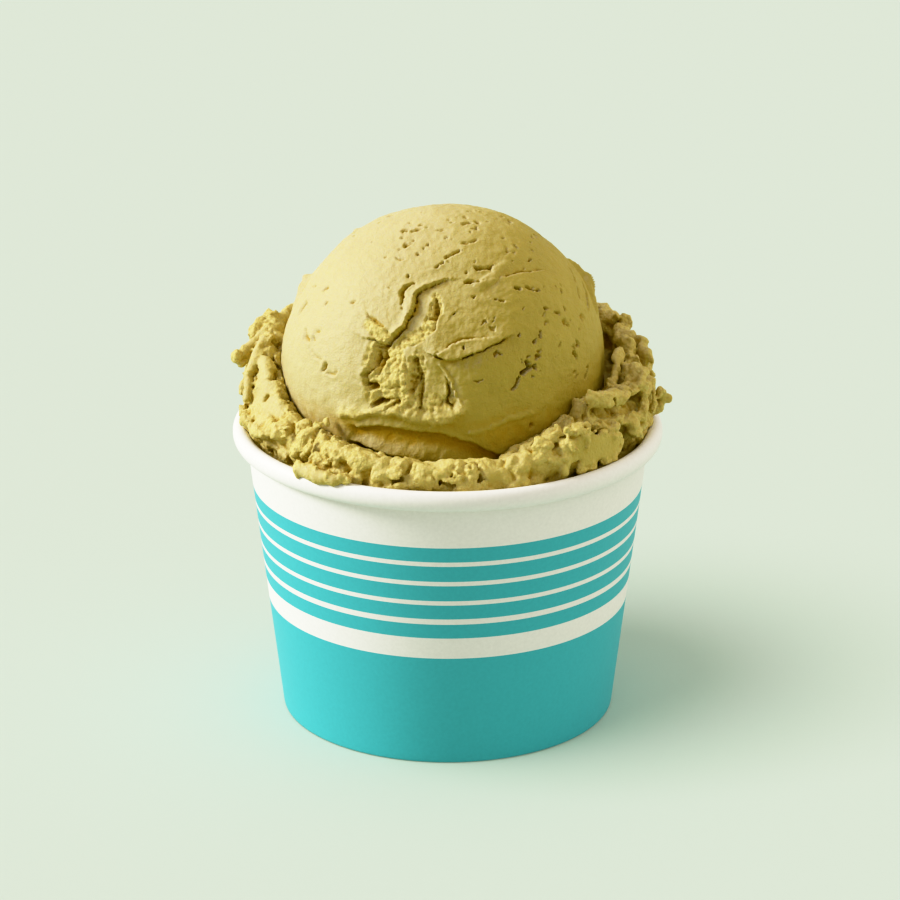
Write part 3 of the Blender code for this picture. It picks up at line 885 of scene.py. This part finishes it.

# %% [markdown]
# The skin's colour goes from a darker shaded tone to a paler lit tone with the way that it faces the key
# light, which is painted light, and the painted light is weaker where a point lies low, which paints shade
# into hollows. Slow blotches of a few millimetres keep it from being even.

# %% The skin, with painted light and shade
coordinates = add_node(tree, "TexCoord")
place = coordinates.outputs["Object"]
blotches = add_node(tree, "TexNoise", {"Vector": place, "Scale": 1 / (6 * MM), "Detail": 4.0})
brightness = add_node(tree, "MapRange", {"Value": blotches.outputs["Fac"], "To Min": 0.94, "To Max": 1.06})
# Painted light: a face turned to the key light is painted paler.
faced_key = add_node(
    tree, "VectorMath", {0: coordinates.outputs["Normal"], 1: KEY_LIGHT_SIDE}, operation="DOT_PRODUCT"
).outputs["Value"]
lit_side_share = add_node(tree, "MapRange", {"Value": faced_key, "From Min": SHADED_BELOW, "From Max": LIT_ABOVE})
hollow = add_node(tree, "Attribute", attribute_name="hollow").outputs["Fac"]
torn_share = add_node(tree, "Attribute", attribute_name="torn").outputs["Fac"]
# Painted shade: the painted light is weaker where a point lies lower than the surface round it.
light_on_high = add_node(
    tree,
    "MapRange",
    {
        "Value": hollow,
        "From Min": PAINTED_LIGHT_FADES_FROM,
        "From Max": PAINTED_LIGHT_FADES_TO,
        "To Min": 1.0,
        "To Max": 0.3,
    },
)
painted_light_share = add_node(
    tree, "Math", {0: lit_side_share.outputs["Result"], 1: light_on_high.outputs["Result"]}, operation="MULTIPLY"
)
lit_and_shaded_skin = add_node(
    tree, "MixRGB", {"Fac": painted_light_share.outputs["Value"], "Color1": SHADED_SIDE_PISTACHIO, "Color2": PAINTED_LIT_PISTACHIO}
)
print(len(tree.nodes), "nodes for the skin")

# %% [markdown]
# Torn places take the crumbs' own colour. The finest crumbs are the cells of a pattern, and their gaps and
# the hollows of the mesh add up to how much olive-gold painted shade a place gets. The deepest hollows get
# a darker brown painted shade.

# %% Crumbs, and painted shade in gaps and hollows
crumbled = add_node(tree, "Math", {0: torn_share, 1: CRUMBS_OWN}, operation="MULTIPLY")
base = add_node(
    tree,
    "MixRGB",
    {"Fac": crumbled.outputs["Value"], "Color1": lit_and_shaded_skin.outputs["Color"], "Color2": CRUMBLED_PISTACHIO},
)
crumb_cells = add_node(tree, "TexVoronoi", {"Vector": place, "Scale": 1 / (CRUMB_SIZE * MM)})
# Painted shade in the gaps between the finest crumbs.
gap_shade = add_node(
    tree,
    "MapRange",
    {"Value": crumb_cells.outputs["Distance"], "From Min": 0.45, "From Max": 0.8, "To Max": 0.3},
)
crumb_gap_shade = add_node(tree, "Math", {0: gap_shade.outputs["Result"], 1: torn_share}, operation="MULTIPLY")
# Painted shade in the hollows, olive gold, and darker brown in the deepest.
hollow_shade = add_node(tree, "MapRange", {"Value": hollow, "From Min": SHADE_FROM, "From Max": SHADE_FULL})
painted_shade_share = add_node(
    tree,
    "Math",
    {0: hollow_shade.outputs["Result"], 1: crumb_gap_shade.outputs["Value"]},
    operation="ADD",
    use_clamp=True,
)
shaded_base = add_node(
    tree,
    "MixRGB",
    {"Fac": painted_shade_share.outputs["Value"], "Color1": base.outputs["Color"], "Color2": PAINTED_SHADE_PISTACHIO},
)
pit_shade_share = add_node(
    tree, "MapRange", {"Value": hollow, "From Min": PIT_SHADE_FROM, "From Max": PIT_SHADE_FULL, "To Max": 0.85}
)
pit_shaded = add_node(
    tree,
    "MixRGB",
    {"Fac": pit_shade_share.outputs["Result"], "Color1": shaded_base.outputs["Color"], "Color2": PAINTED_PIT_SHADE},
)
colour = add_node(
    tree,
    "HueSaturation",
    {"Value": brightness.outputs["Result"], "Color": pit_shaded.outputs["Color"]},
)
tree.links.new(colour.outputs["Color"], gelato_shader.inputs["Base Color"])
print(len(tree.nodes), "nodes with the crumbs and hollows")

# %% [markdown]
# One bump carries the grain of the ice everywhere, and the finest crumbs where the gelato is torn.

# %% Ice grain and fine crumbs
ice = add_node(tree, "TexNoise", {"Vector": place, "Scale": 1 / (ICE_GRAIN * MM), "Detail": 2.5})
ice_height = add_node(tree, "Math", {0: ice.outputs["Fac"], 1: ICE_DEPTH}, operation="MULTIPLY")
crumb_height = add_node(
    tree, "MapRange", {"Value": crumb_cells.outputs["Distance"], "To Min": CRUMB_DEPTH, "To Max": 0.0}
)
relief = add_node(
    tree,
    "Math",
    {0: crumb_height.outputs["Result"], 1: torn_share, 2: ice_height.outputs["Value"]},
    operation="MULTIPLY_ADD",
)
bump = add_node(tree, "Bump", {"Height": relief.outputs["Value"], "Distance": MM})
tree.links.new(bump.outputs["Normal"], gelato_shader.inputs["Normal"])
print(len(tree.nodes), "nodes in", gelato_mass.name)

# %% [markdown]
# The material needs to know how deep each point lies. A copy of the mesh is eased: each of its points is
# drawn halfway to the middle of its neighbours, again and again, until only the broad shape is left. How
# far a point lies below the eased copy is its depth, and it is kept in the mesh with how torn the place
# is.

# %% How deep each point lies
def depths_under(mesh, passes):
    """How far each point lies below the surface round it, as the passes smooth that, in millimetres."""
    count = len(mesh.vertices)
    points, normals = np.empty((2, 3 * count), np.float32)
    mesh.vertices.foreach_get("co", points)
    mesh.vertices.foreach_get("normal", normals)
    ends = np.empty(2 * len(mesh.edges), np.int32)
    mesh.edges.foreach_get("vertices", ends)
    one, other = ends[0::2], ends[1::2]
    neighbours = np.bincount(ends, minlength=count)
    points = points.reshape(-1, 3) / MM
    eased = points
    for _ in range(passes):
        pulled = []
        for values in eased.T:
            pulled.append(np.bincount(one, values[other], count) + np.bincount(other, values[one], count))
        eased = 0.5 * eased + 0.5 * np.stack(pulled, axis=-1) / neighbours[:, None]
    return ((eased - points) * normals.reshape(-1, 3)).sum(axis=1)


# %% [markdown]
# The heights push the sphere's points out from the ball's centre. The foot of the ball counts as a
# little deeper than it is, so it gets painted shade that turns it more golden towards the bottom.

# %% The ball
def keep_layers(piece, hollow, torn):
    """Stores for the material how far each point lies below the surface round it, and how torn it is."""
    for name, values in (("hollow", hollow), ("torn", torn)):
        layer = piece.data.attributes.new(name, "FLOAT", "POINT")
        layer.data.foreach_set("value", values.astype(np.float32))
    print(f"{piece.name}: hollows up to {hollow.max():.2f} mm, bumps up to {-hollow.min():.2f} mm")


ball_points = BALL_CENTRE + sphere * (BALL_RADIUS + height)[:, None]
ball = plain_mesh("gelato_ball", ball_points * MM, ball_quads.tolist(), gelato_mass)
# Painted shade: the ball's foot counts as deeper than it is, so it turns more golden towards the bottom.
painted_underside_shade = 0.22 * (1 - smooth_step(-8, 6, elevation))
depths = depths_under(ball.data, 100) * (1 - 0.4 * torn)  # crumbs get less painted shade than skin
keep_layers(ball, depths + painted_underside_shade, torn)
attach(ball, "root")
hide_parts("gelato")
print("ball from", ball_points.min(axis=0).round(1), "to", ball_points.max(axis=0).round(1))

# %% [markdown]
# ### The collar
# The gelato that the scoop pushed aside stands round the ball as a ragged collar. First its bulk: at
# each azimuth its section is a leaning wedge with rounded ends, from a foot inside the rim over a belly
# to a crest. Its sizes are given at some azimuths and eased in between. The last two say how high the
# gap to the ball is filled and how wide it is above that: it gapes at the two wings.

# %% The collar's bulk
COLLAR = np.array((
    # azimuth, crest height and radius, belly height and radius, foot radius, filled up to, gap to the ball
    (-180, 66.0, 30.5, 59.0, 35.4, 34.6, 62.5, 0.4),
    (-135, 68.0, 31.0, 60.0, 36.0, 35.0, 63.0, 0.4),
    (-112, 68.4, 31.8, 61.0, 36.2, 35.6, 66.0, 0.5),
    (-100, 67.0, 31.4, 60.0, 36.0, 35.6, 65.6, 0.6),
    (-90, 66.0, 31.6, 58.0, 35.4, 35.4, 64.6, 1.2),
    (-82, 64.8, 31.4, 57.0, 35.2, 35.2, 63.2, 1.2),
    (-76, 63.0, 31.1, 56.2, 35.0, 34.6, 61.3, 1.1),
    (-70, 60.9, 30.8, 55.4, 34.8, 33.4, 59.4, 0.9),
    (-62, 58.9, 30.5, 55.2, 34.4, 31.8, 57.8, 0.4),
    (-52, 57.6, 31.0, 55.4, 34.2, 31.8, 56.8, 0.0),
    (-38, 57.2, 31.4, 54.8, 34.8, 35.4, 56.8, 0.0),
    (-20, 55.6, 31.0, 54.2, 34.8, 34.4, 55.0, 0.0),
    (-10, 54.4, 30.8, 53.8, 34.6, 34.0, 53.6, 0.0),
    (0, 53.8, 30.8, 53.4, 34.4, 33.8, 52.6, 0.3),
    (10, 53.4, 30.8, 53.2, 34.4, 33.8, 52.2, 0.3),
    (17, 54.6, 30.8, 53.4, 34.4, 33.8, 53.6, 0.1),
    (24, 57.6, 31.0, 54.4, 34.6, 34.0, 56.6, 0.0),
    (34, 60.0, 31.4, 55.2, 34.2, 34.0, 58.4, 0.0),
    (42, 61.0, 31.2, 56.0, 33.4, 32.8, 59.4, 0.0),
    (50, 63.6, 31.2, 57.5, 33.2, 32.0, 62.4, 0.0),
    (60, 63.4, 31.8, 58.0, 33.8, 31.6, 61.4, 0.1),
    (70, 62.8, 32.2, 58.6, 35.0, 32.6, 60.2, 0.8),
    (80, 64.2, 31.8, 59.0, 36.0, 35.0, 59.0, 1.5),
    (90, 65.0, 31.6, 58.5, 36.2, 35.6, 59.0, 1.7),
    (102, 66.8, 31.6, 59.5, 36.2, 35.6, 61.0, 1.2),
    (114, 68.0, 31.2, 60.0, 36.0, 35.2, 62.0, 0.8),
    (135, 67.5, 31.0, 60.0, 36.0, 35.0, 63.0, 0.4),
    (180, 66.0, 30.5, 59.0, 35.4, 34.6, 62.5, 0.4),
), float)
CREST_ROUND, BELLY_ROUND, COLLAR_FOOT_ROUND = 1.3, 2.9, 2.6
COLLAR_FOOT_UP = 49.5
CRUMBS_FROM = 49.5  # below this the cup hides it
CUT_HEIGHT = 47.5  # the collar's cut face, hidden in the cup
print("the crest is", COLLAR[:, 1].min(), "to", COLLAR[:, 1].max(), "mm high")

# %% [markdown]
# ### Tools for the collar
# The clay is a grid of voxels that each hold the distance to the surface, less than nought inside. A
# fold is a chain of rounds along a line, and adding one only touches the box of voxels round it. A
# hollow is the same chain taken away.

# %% Clay
def smooth_min(first, second, blend):
    """The lesser of two fields, rounded over where they are about the same."""
    mix = np.clip(0.5 + 0.5 * (second - first) / blend, 0, 1)
    return second + (first - second) * mix - blend * mix * (1 - mix)


def wedge(ring, up, ends):
    """Distance in the upright section from a chain of rounds, each a radius, a height and its own round."""
    best = None
    for (r0, z0, round0), (r1, z1, round1) in zip(ends, ends[1:]):
        run_r, run_z = r1 - r0, z1 - z0
        share = np.clip(((ring - r0) * run_r + (up - z0) * run_z) / (run_r**2 + run_z**2), 0, 1)
        reach = np.hypot(ring - r0 - share * run_r, up - z0 - share * run_z)
        reach = reach - round0 - share * (round1 - round0)
        best = reach if best is None else np.minimum(best, reach)
    return best


def collar_place(azimuth, radius, height):
    """The place at an azimuth, a radius and a height."""
    a = np.radians(azimuth)
    return np.stack([radius * np.sin(a), -radius * np.cos(a), height + 0 * a], axis=-1)


class Clay:
    """A box of voxels with a field of distances in millimetres."""

    def __init__(self, low, high, voxel):
        self.low, self.voxel = np.array(low), voxel
        self.counts = np.ceil((np.array(high) - low) / voxel).astype(int)
        self.axes = [(start + voxel * np.arange(n)).astype(np.float32) for start, n in zip(low, self.counts)]
        self.x, self.y, self.z = np.meshgrid(*self.axes, indexing="ij", sparse=True)
        self.ring = np.hypot(self.x, self.y)
        self.turn = np.degrees(np.arctan2(self.x, -self.y))

    def distance(self, chain, reach):
        """The voxels near a chain of (azimuth, radius, height, round), and their distance from it."""
        chain = np.array(chain, float)
        ends = collar_place(chain[:, 0], chain[:, 1], chain[:, 2])
        reach = reach + chain[:, 3].max()
        first = np.clip((ends.min(axis=0) - reach - self.low) / self.voxel, 0, self.counts - 2).astype(int)
        last = (ends.max(axis=0) + reach - self.low) / self.voxel + 2
        last = np.clip(last, first + 1, self.counts).astype(int)
        box = tuple(slice(a, b) for a, b in zip(first, last))
        near_axes = [axis[part] for axis, part in zip(self.axes, box)]
        x, y, z = np.meshgrid(*near_axes, indexing="ij", sparse=True)
        best = np.float32(99)
        for i in range(max(1, len(ends) - 1)):
            start, end = ends[i], ends[min(i + 1, len(ends) - 1)]
            run = end - start
            along = (x - start[0]) * run[0] + (y - start[1]) * run[1] + (z - start[2]) * run[2]
            share = np.clip(along / max(run @ run, 1e-6), 0, 1)
            off = (x - start[0] - share * run[0]) ** 2 + (y - start[1] - share * run[1]) ** 2
            off = np.sqrt(off + (z - start[2] - share * run[2]) ** 2)
            thick = chain[i, 3] + share * (chain[min(i + 1, len(ends) - 1), 3] - chain[i, 3])
            best = np.minimum(best, (off - thick).astype(np.float32))
        return box, best

    def add(self, chain, blend=0.4):
        """Adds a fold and rounds the corner where it meets the rest."""
        box, distance = self.distance(chain, blend + 1)
        self.field[box] = smooth_min(self.field[box], distance, blend)

    def dig(self, chain, blend=0.3):
        """Takes a hollow away and rounds its edge."""
        box, distance = self.distance(chain, blend + 1)
        self.field[box] = -smooth_min(-self.field[box], distance, blend)


print("a round at 90 degrees, 30 mm out and 55 mm up lies at", collar_place(90, 30, 55).round(1))

# %% [markdown]
# ### The wings
# At the left the collar rises into a wing. Its outer slope stays smooth there, in the shape of a leaf,
# and ropy folds run down beside it, one of which ends in a nub over the rim. At its foot it stands clear
# of the rim and leaves a dark gap, and further to the front there are a few fingers and a drip that lies
# over the rim.

# %% The left wing
LEFT_FOLDS = (
    ((-108, 32.8, 68.0, 1.3), (-106, 33.4, 66.6, 1.6), (-104, 34.4, 65.0, 1.5)),
    ((-112, 31, 67.2, 0.8), (-107, 31, 66.6, 0.8)),
    ((-106, 30.6, 66.6, 0.9), (-103, 32.2, 66.4, 1.1), (-100, 33.2, 65.5, 1.1),
     (-97, 34.2, 64.5, 1.1), (-94, 35.8, 63.6, 1.0), (-92, 36.6, 63.3, 1.1)),
    ((-94, 35.2, 62.6, 0.7), (-91, 35.6, 62.4, 0.6)),
    ((-95, 30.8, 66.4, 1.0), (-92, 31.9, 66.0, 1.2), (-88, 33.0, 64.5, 1.1), (-85, 34.0, 62.4, 1.0),
     (-82, 34.8, 60.4, 0.9), (-79, 35.2, 58.4, 0.9)),
    ((-86, 35.2, 60, 0.9), (-84, 35.5, 57.6, 0.9), (-80, 35.6, 56, 1.0)),
    ((-77, 35.6, 55.4, 1.0), (-72, 35.4, 54.6, 1.2), (-66, 35, 54.8, 1.1), (-62, 34.8, 54.6, 0.9)),
    ((-43, 30.2, 59.2, 0.7), (-45.5, 31.5, 58.4, 0.9), (-48, 33.4, 56.8, 1.0), (-48, 34.2, 54.8, 0.9)),
    ((-38, 30.2, 59.2, 0.6), (-41, 32, 58.2, 0.8), (-43, 33.2, 57.2, 0.8)),
    ((-50, 31, 59.0, 0.6), (-54, 32.6, 57.6, 0.9), (-58, 33.8, 56, 1.0), (-60, 34.2, 54.6, 0.8)),
    ((-41, 33.8, 56.6, 0.9), (-44, 34.4, 54.4, 1.1)),
    ((-44, 36.0, 53.8, 1.0), (-41, 36.6, 53.2, 1.2), (-36, 36.9, 52.9, 1.3), (-31, 36.8, 53.0, 1.1),
     (-28, 36.2, 53.3, 0.8)),
)
LEFT_HOLLOWS = (
    ((-87, 31, 66, 0.3), (-84, 32.8, 62.8, 0.45), (-79, 34.2, 60.2, 0.45), (-76, 34.9, 58, 0.4),
     (-74, 35.2, 56.4, 0.35)),
    ((-99, 31, 66.4, 0.4), (-94, 33.2, 64.8, 0.55), (-89, 34.8, 62.9, 0.55), (-85, 35.6, 60.8, 0.55)),
    ((-101, 33.6, 67, 0.3), (-99, 35, 65.8, 0.5)),
    ((-72, 32.4, 60.0, 0.45), (-72.5, 32.8, 59.4, 0.4)),
    ((-69, 33.2, 58.6, 0.25), (-63, 33.0, 57.8, 0.25)),
    ((-68, 36.2, 53.0, 1.3), (-62, 35.4, 53.2, 2.1), (-54, 35.2, 53.1, 2.2), (-49, 35.8, 52.9, 1.3)),
    ((-41, 31, 59, 0.4), (-44, 33, 57.6, 0.45), (-45.5, 34, 56, 0.4)),
    ((-47, 31, 59, 0.4), (-50, 33.2, 57, 0.5), (-52, 34.2, 55.4, 0.55)),
    ((-46.5, 35.2, 53.8, 0.5), (-46, 34, 54, 0.6)),
    ((-37.5, 34.8, 56.2, 0.4), (-34, 34.8, 54.9, 0.45), (-30, 35, 53.9, 0.4)),
    ((-51, 34.4, 57.2, 0.3), (-53, 34.8, 55, 0.5)),
)
print(len(LEFT_FOLDS), "folds and", len(LEFT_HOLLOWS), "hollows")

# %% [markdown]
# At the right the collar broke into blocks. One has a smooth upright face that stands on the rim. Above
# it a level ledge with a dark slot under it runs back to a curled ridge round a pocket, and nubs make
# the outline.

# %% The front and the right wing
RIGHT_FOLDS = (
    ((-3, 32.4, 54.4, 0.6), (4, 32.4, 54.1, 0.65), (8, 32.4, 53.6, 0.5)),
    ((27, 32.4, 58.2, 1.0), (32, 33, 59.2, 1.1), (37, 33.4, 60.2, 0.9), (43, 33.4, 59.8, 0.8),
     (50, 33.6, 58.6, 0.8)),
    ((28, 33, 56.8, 1.0), (30, 33.4, 55.8, 0.8)),
    ((47, 31.4, 63.4, 1.0), (53, 32.6, 63.2, 1.3), (59, 33.2, 62.9, 1.4), (65, 33.6, 62.4, 1.3),
     (71, 33.9, 61.8, 1.0)),
    ((54, 34.4, 57.0, 0.9), (57.5, 34.6, 55.0, 1.0), (56, 34.6, 53.4, 0.8)),
    ((60, 33.6, 58.0, 0.9), (65, 34.4, 57.0, 0.9), (69, 34.6, 54.8, 0.9)),
    ((80, 30.6, 64.2, 0.7), (77, 32.2, 64.2, 0.8), (75, 33.8, 63.6, 0.9), (72, 34.8, 61.9, 0.9),
     (72, 35, 59.2, 0.9)),
    ((72, 35, 59.4, 0.9), (69, 35, 57.6, 0.9), (64, 35, 56.8, 0.8)),
    ((84, 29.8, 66, 0.7), (77, 29.9, 65.2, 0.8), (74, 30.1, 63.2, 0.8), (69, 30.3, 61.8, 0.7)),
    ((98, 30.6, 65.6, 1.2), (92, 31.4, 65.4, 1.2), (90, 31.8, 64.2, 1.2)),
    ((115, 30, 67.2, 1.1), (113, 30.4, 66, 1.2)),
    ((107, 32, 67.2, 1.0), (109, 31.4, 66.2, 1.1), (104, 32.6, 65.8, 1.1)),
    ((96, 34, 64.6, 1.3), (91, 34.2, 63.4, 1.3)),
    ((98, 35.8, 60.0, 0.9), (92, 35.6, 60, 0.9)),
    ((87, 36.6, 58.2, 1.0), (89, 37.3, 56.8, 1.1), (88, 36.6, 54.8, 1.2)),
    ((63, 34.6, 55.8, 0.8), (67, 35, 54.8, 0.8), (70, 35.2, 55.4, 0.7)),
)
RIGHT_HOLLOWS = (
    ((-2, 33.5, 53.6, 0.5), (3, 33.7, 53.3, 0.6), (8, 33.8, 52.8, 0.5)),
    ((40.5, 35.6, 57.4, 0.3), (41, 35.7, 56.4, 0.3)),
    ((43, 33, 58.8, 0.8), (46, 33.4, 58.6, 0.8)),
    ((22, 35, 54.3, 0.5), (26, 35.2, 53.6, 0.9), (30, 35.2, 53.1, 1.1), (33.5, 35.4, 52.5, 0.8)),
    ((61, 35.6, 52.6, 1.2), (66, 35.4, 52.8, 1.9), (72, 35.8, 53.0, 2.0), (79, 36.6, 53.4, 1.2)),
    ((76, 32.4, 63.4, 0.8), (73, 33.4, 62, 1.1), (71, 33.2, 60.8, 0.9)),
    ((91, 32.8, 65.8, 0.6), (89, 33.4, 63.2, 0.7)),
    ((103, 33, 64, 0.7), (100, 33.8, 62.4, 0.7)),
    ((54, 32.6, 62.0, 0.5), (52, 33, 61.0, 0.4)),
    ((43, 32.4, 61.4, 0.7), (48, 32.8, 61.2, 1.2), (54, 33.2, 60.4, 1.5), (60, 33.6, 60.0, 1.5),
     (68, 34.4, 59.8, 1.2)),
    ((57, 35.4, 59.0, 0.5), (59.5, 35.6, 56.8, 0.5), (61, 35.8, 54.8, 0.6)),
    ((62, 33.6, 60.8, 0.6), (64, 33.2, 60.6, 0.7)),
    ((80, 36.2, 59.4, 0.5), (82, 36.4, 57.6, 0.8)),
)
BLOCK = (45, 33.6, 55.9)  # azimuth, radius and height of its middle
BLOCK_HALF = (10.5, 1.5, 3.3)  # half of it round, outwards and up, in degrees and millimetres
BLOCK_FALL = 0.15  # how far its top falls for each degree to the right
BLOCK_ROUND = 0.3


def block_distance(clay):
    """Distance from the block, which is bent round the axis and falls to the right."""
    azimuth, radius, middle = BLOCK
    tops = middle - BLOCK_FALL * (clay.turn - azimuth) * 0.5
    round_off = np.abs(clay.turn - azimuth) * math.radians(radius) - BLOCK_HALF[0] * math.radians(radius)
    out_off = np.abs(clay.ring - radius) - BLOCK_HALF[1]
    up_off = np.abs(clay.z - tops) - BLOCK_HALF[2] + BLOCK_FALL * (clay.turn - azimuth) * 0.5
    outside = np.clip(round_off, 0, 9) ** 2 + np.clip(out_off, 0, 9) ** 2 + np.clip(up_off, 0, 9) ** 2
    inside = np.minimum(np.maximum(np.maximum(round_off, out_off), up_off), 0)
    return np.sqrt(outside) + inside - BLOCK_ROUND


print(len(RIGHT_FOLDS), "folds and", len(RIGHT_HOLLOWS), "hollows")

# %% [markdown]
# ### Crumbs
# The collar is crumbly, apart from the few places that the scoop or the spoon left smooth. Swells of two
# sizes and grains of four push its surface out and in, on places that swells have shaken, so that no two
# clumps are alike. Where a third swell is highest it opens a pore, and the clods, which are the largest
# grains, part along cracks.

# %% A crumbly surface
SMOOTH_PATCHES = (
    # azimuth, radius, height, reach
    (-83, 32, 64.4, 1.8), (-79, 32.6, 62.6, 2.2), (-74, 32.6, 61, 2.4), (-69, 32.6, 59, 2.2),
     (-76, 34, 59.6, 1.8),
    (-65, 31.6, 58.8, 1.6), (-100, 33.2, 66.2, 1.6), (-96, 34.6, 65.2, 1.6), (-92, 32.4, 66.4, 1.5),
    (-88, 33.4, 65.2, 1.5), (-85, 34.4, 63.2, 1.5), (-82, 35.2, 61.2, 1.5), (-79, 35.6, 59, 1.4),
     (88, 37, 57, 1.8),
    (-40, 37, 53, 1.9), (-35, 37, 53, 2.0), (-31, 37, 53, 1.6),
    (38, 35.4, 56, 1.8), (42, 35.4, 55.5, 2.0), (46.5, 35.4, 55.2, 2.0), (51, 35.4, 54.6, 1.7),
    (39, 35.4, 58, 1.6), (45, 35.4, 57.2, 2.0), (50, 35.3, 56.4, 2.0), (54, 35.2, 55.4, 1.8),
    (53, 31.8, 64.4, 1.3), (58, 32.6, 64.2, 1.6), (64, 33.2, 63.4, 1.4), (73, 34.6, 62.6, 1.3),
    (13, 33.4, 54.2, 1.8),
)


def brokenness(places):
    """How crumbly the collar is at each place, from near 0 in the smooth patches to 1."""
    share = 0.5 + 0.5 * smooth_step(-0.3, 0.1, swell(places, 6.5, 60))
    for azimuth, radius, height, reach in SMOOTH_PATCHES:
        away = np.linalg.norm(places - collar_place(azimuth, radius, height), axis=1)
        share *= smooth_step(0.55, 1.15, away / reach) * 0.92 + 0.08
    return share


def collar_crumbs(places):
    """How far the crumbs push the surface out at each place, in millimetres."""
    moved = shaken(places, ((6.0, 1.6), (2.2, 0.6)), seed=50)
    broken = brokenness(places)
    lumps = 0.8 * swell(moved, 4.2, 61) + 0.7 * swell(moved, 2.0, 62)
    upright = moved * (1, 1, 0.65)  # clods are taller than wide
    clods = grains(upright, 2.7, 9)
    clumps = 1.2 * clods + 0.7 * grains(moved, 1.3, 10)
    clumps = clumps + 0.4 * grains(moved, 0.75, 11) - 0.4 * grains(moved, 1.0, 14)
    pores = smooth_step(0.34, 0.45, swell(moved, 2.4, 63))
    cracks = smooth_step(0.05, 0.35, -clods)
    bold = 0.4 + 1.2 * smooth_step(-30, 25, places[:, 0])  # the right side broke into bigger clods
    return np.minimum(1.0, 2 * broken) * bold * lumps + broken * (clumps - pores - 1.1 * cracks)


print(len(SMOOTH_PATCHES), "smooth patches")

# %% [markdown]
# Now all of it comes together: the bulk and what fills the gap to the ball, the folds, the block, the
# hollows and the crumbs. Then the ball, the cup's wall and its bead each keep their own room, and the
# mesh is drawn where the field is nought. The front piece has the finer voxels.

# %% The collar's two meshes
CRUMB_REACH = 2.0  # crumbs move the surface less than this
UNDER_BALL = 3.5  # how far from the ball the filling reaches
CUP_ROOM = 0.25
BEAD_ROOM = (1.5, 1.85)  # half widths of what is left free round the bead's middle
FLATNESS = 0.03  # how readily the mesh joins small faces where it is flat


def sculpt_collar(name, low, high, voxel, middle_y):
    """Sculpts the part of the collar that lies in a box, and makes its mesh and its layers."""
    clay = Clay(low, high, voxel)
    up, ring = clay.z, clay.ring
    section = [np.interp(clay.turn, COLLAR[:, 0], column).astype(np.float32) for column in COLLAR.T[1:]]
    crest_up, crest_out, belly_up, belly_out, foot_out, filled_to, gape = section
    from_ball = np.sqrt(clay.x**2 + clay.y**2 + (up - BALL_CENTRE[2]) ** 2) - BALL_RADIUS
    from_ball -= ball_lean(clay.x / np.maximum(ring, 1), (up - BALL_CENTRE[2]) / BALL_RADIUS)
    bulk = wedge(ring, up, (
        (foot_out - COLLAR_FOOT_ROUND, COLLAR_FOOT_UP, COLLAR_FOOT_ROUND),
        (belly_out - BELLY_ROUND, belly_up, BELLY_ROUND),
        (crest_out, crest_up - CREST_ROUND, CREST_ROUND),
    ))
    filled = np.maximum(np.maximum(from_ball - UNDER_BALL, up - filled_to), ring - foot_out + 1.0)
    clay.field = smooth_min(bulk, filled, 1.5).astype(np.float32)
    for fold in LEFT_FOLDS + RIGHT_FOLDS:
        clay.add(fold)
    clay.field = smooth_min(clay.field, block_distance(clay).astype(np.float32), 0.4)
    for dip in LEFT_HOLLOWS + RIGHT_HOLLOWS:
        clay.dig(dip)
    near = (np.abs(clay.field) < CRUMB_REACH) & (up > CRUMBS_FROM)
    places = np.stack([np.broadcast_to(axis, near.shape)[near] for axis in (clay.x, clay.y, up)], axis=-1)
    clay.field[near] -= collar_crumbs(places) * smooth_step(CRUMBS_FROM, CRUMBS_FROM + 1.5, places[:, 2])
    gap = 0.1 + gape * smooth_step(0, 4, up - filled_to)
    field = np.maximum(clay.field, gap - from_ball)
    in_cup = ring - (wall_radius(up) - PAPER - CUP_ROOM)
    over_bead = np.hypot((ring - bead_centre[0]) / BEAD_ROOM[0], (up - bead_centre[1]) / BEAD_ROOM[1]) - 1
    field = np.maximum(field, np.where(up < bead_centre[1], in_cup, -BEAD_ROOM[0] * over_bead))
    field = np.maximum(np.maximum(field, CUT_HEIGHT - up), middle_y(clay.y))
    volume = openvdb.FloatGrid(1.0)
    volume.copyFromArray(np.clip(field, -1, 1).astype(np.float32))
    points, triangles, quads = volume.convertToPolygons(isovalue=0.0, adaptivity=FLATNESS)
    faces = quads.tolist() + triangles.tolist()
    piece = plain_mesh(name, (clay.low + points * voxel) * MM, faces, gelato_mass)
    keep_layers(piece, depths_under(piece.data, 36), 0.35 + 0.65 * brokenness(clay.low + points * voxel))
    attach(piece, "root")
    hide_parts("gelato")
    print(name, near.sum(), "voxels worked on,", 2 * len(quads) + len(triangles), "triangles")
    return piece


FRONT_VOXEL = 0.28
BACK_VOXEL = 0.42
CUT_Y, LAP = 9.0, 0.6  # where the back piece takes over from the front one, and how far it runs into it
sculpt_collar("gelato_collar", (-40, -39, 46.5), (40.5, CUT_Y + 1, 72), FRONT_VOXEL, lambda y: y - CUT_Y)
sculpt_collar(
    "gelato_collar_back", (-39, CUT_Y - 2, 46.5), (39, 39, 74), BACK_VOXEL, lambda y: CUT_Y - LAP - y
)

# %% [markdown]
# ### The fill
# The cup hides the rest. It is one turned solid that reaches from the base disc up into the collar.

# %% The fill
FILL_LOW, FILL_HIGH = 7.3, 48.5
fill_profile = [(0, FILL_LOW)]
fill_profile += [(wall_radius(z) - PAPER - 0.3, z) for z in np.linspace(FILL_LOW, FILL_HIGH, 6)]
fill_profile += [(0, FILL_HIGH)]
fill = turned("gelato_fill", fill_profile, np.linspace(-180, 180, 96, endpoint=False), False, gelato_mass)
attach(fill, "root")
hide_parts("gelato")
print("fill from", FILL_LOW, "to", FILL_HIGH, "mm")
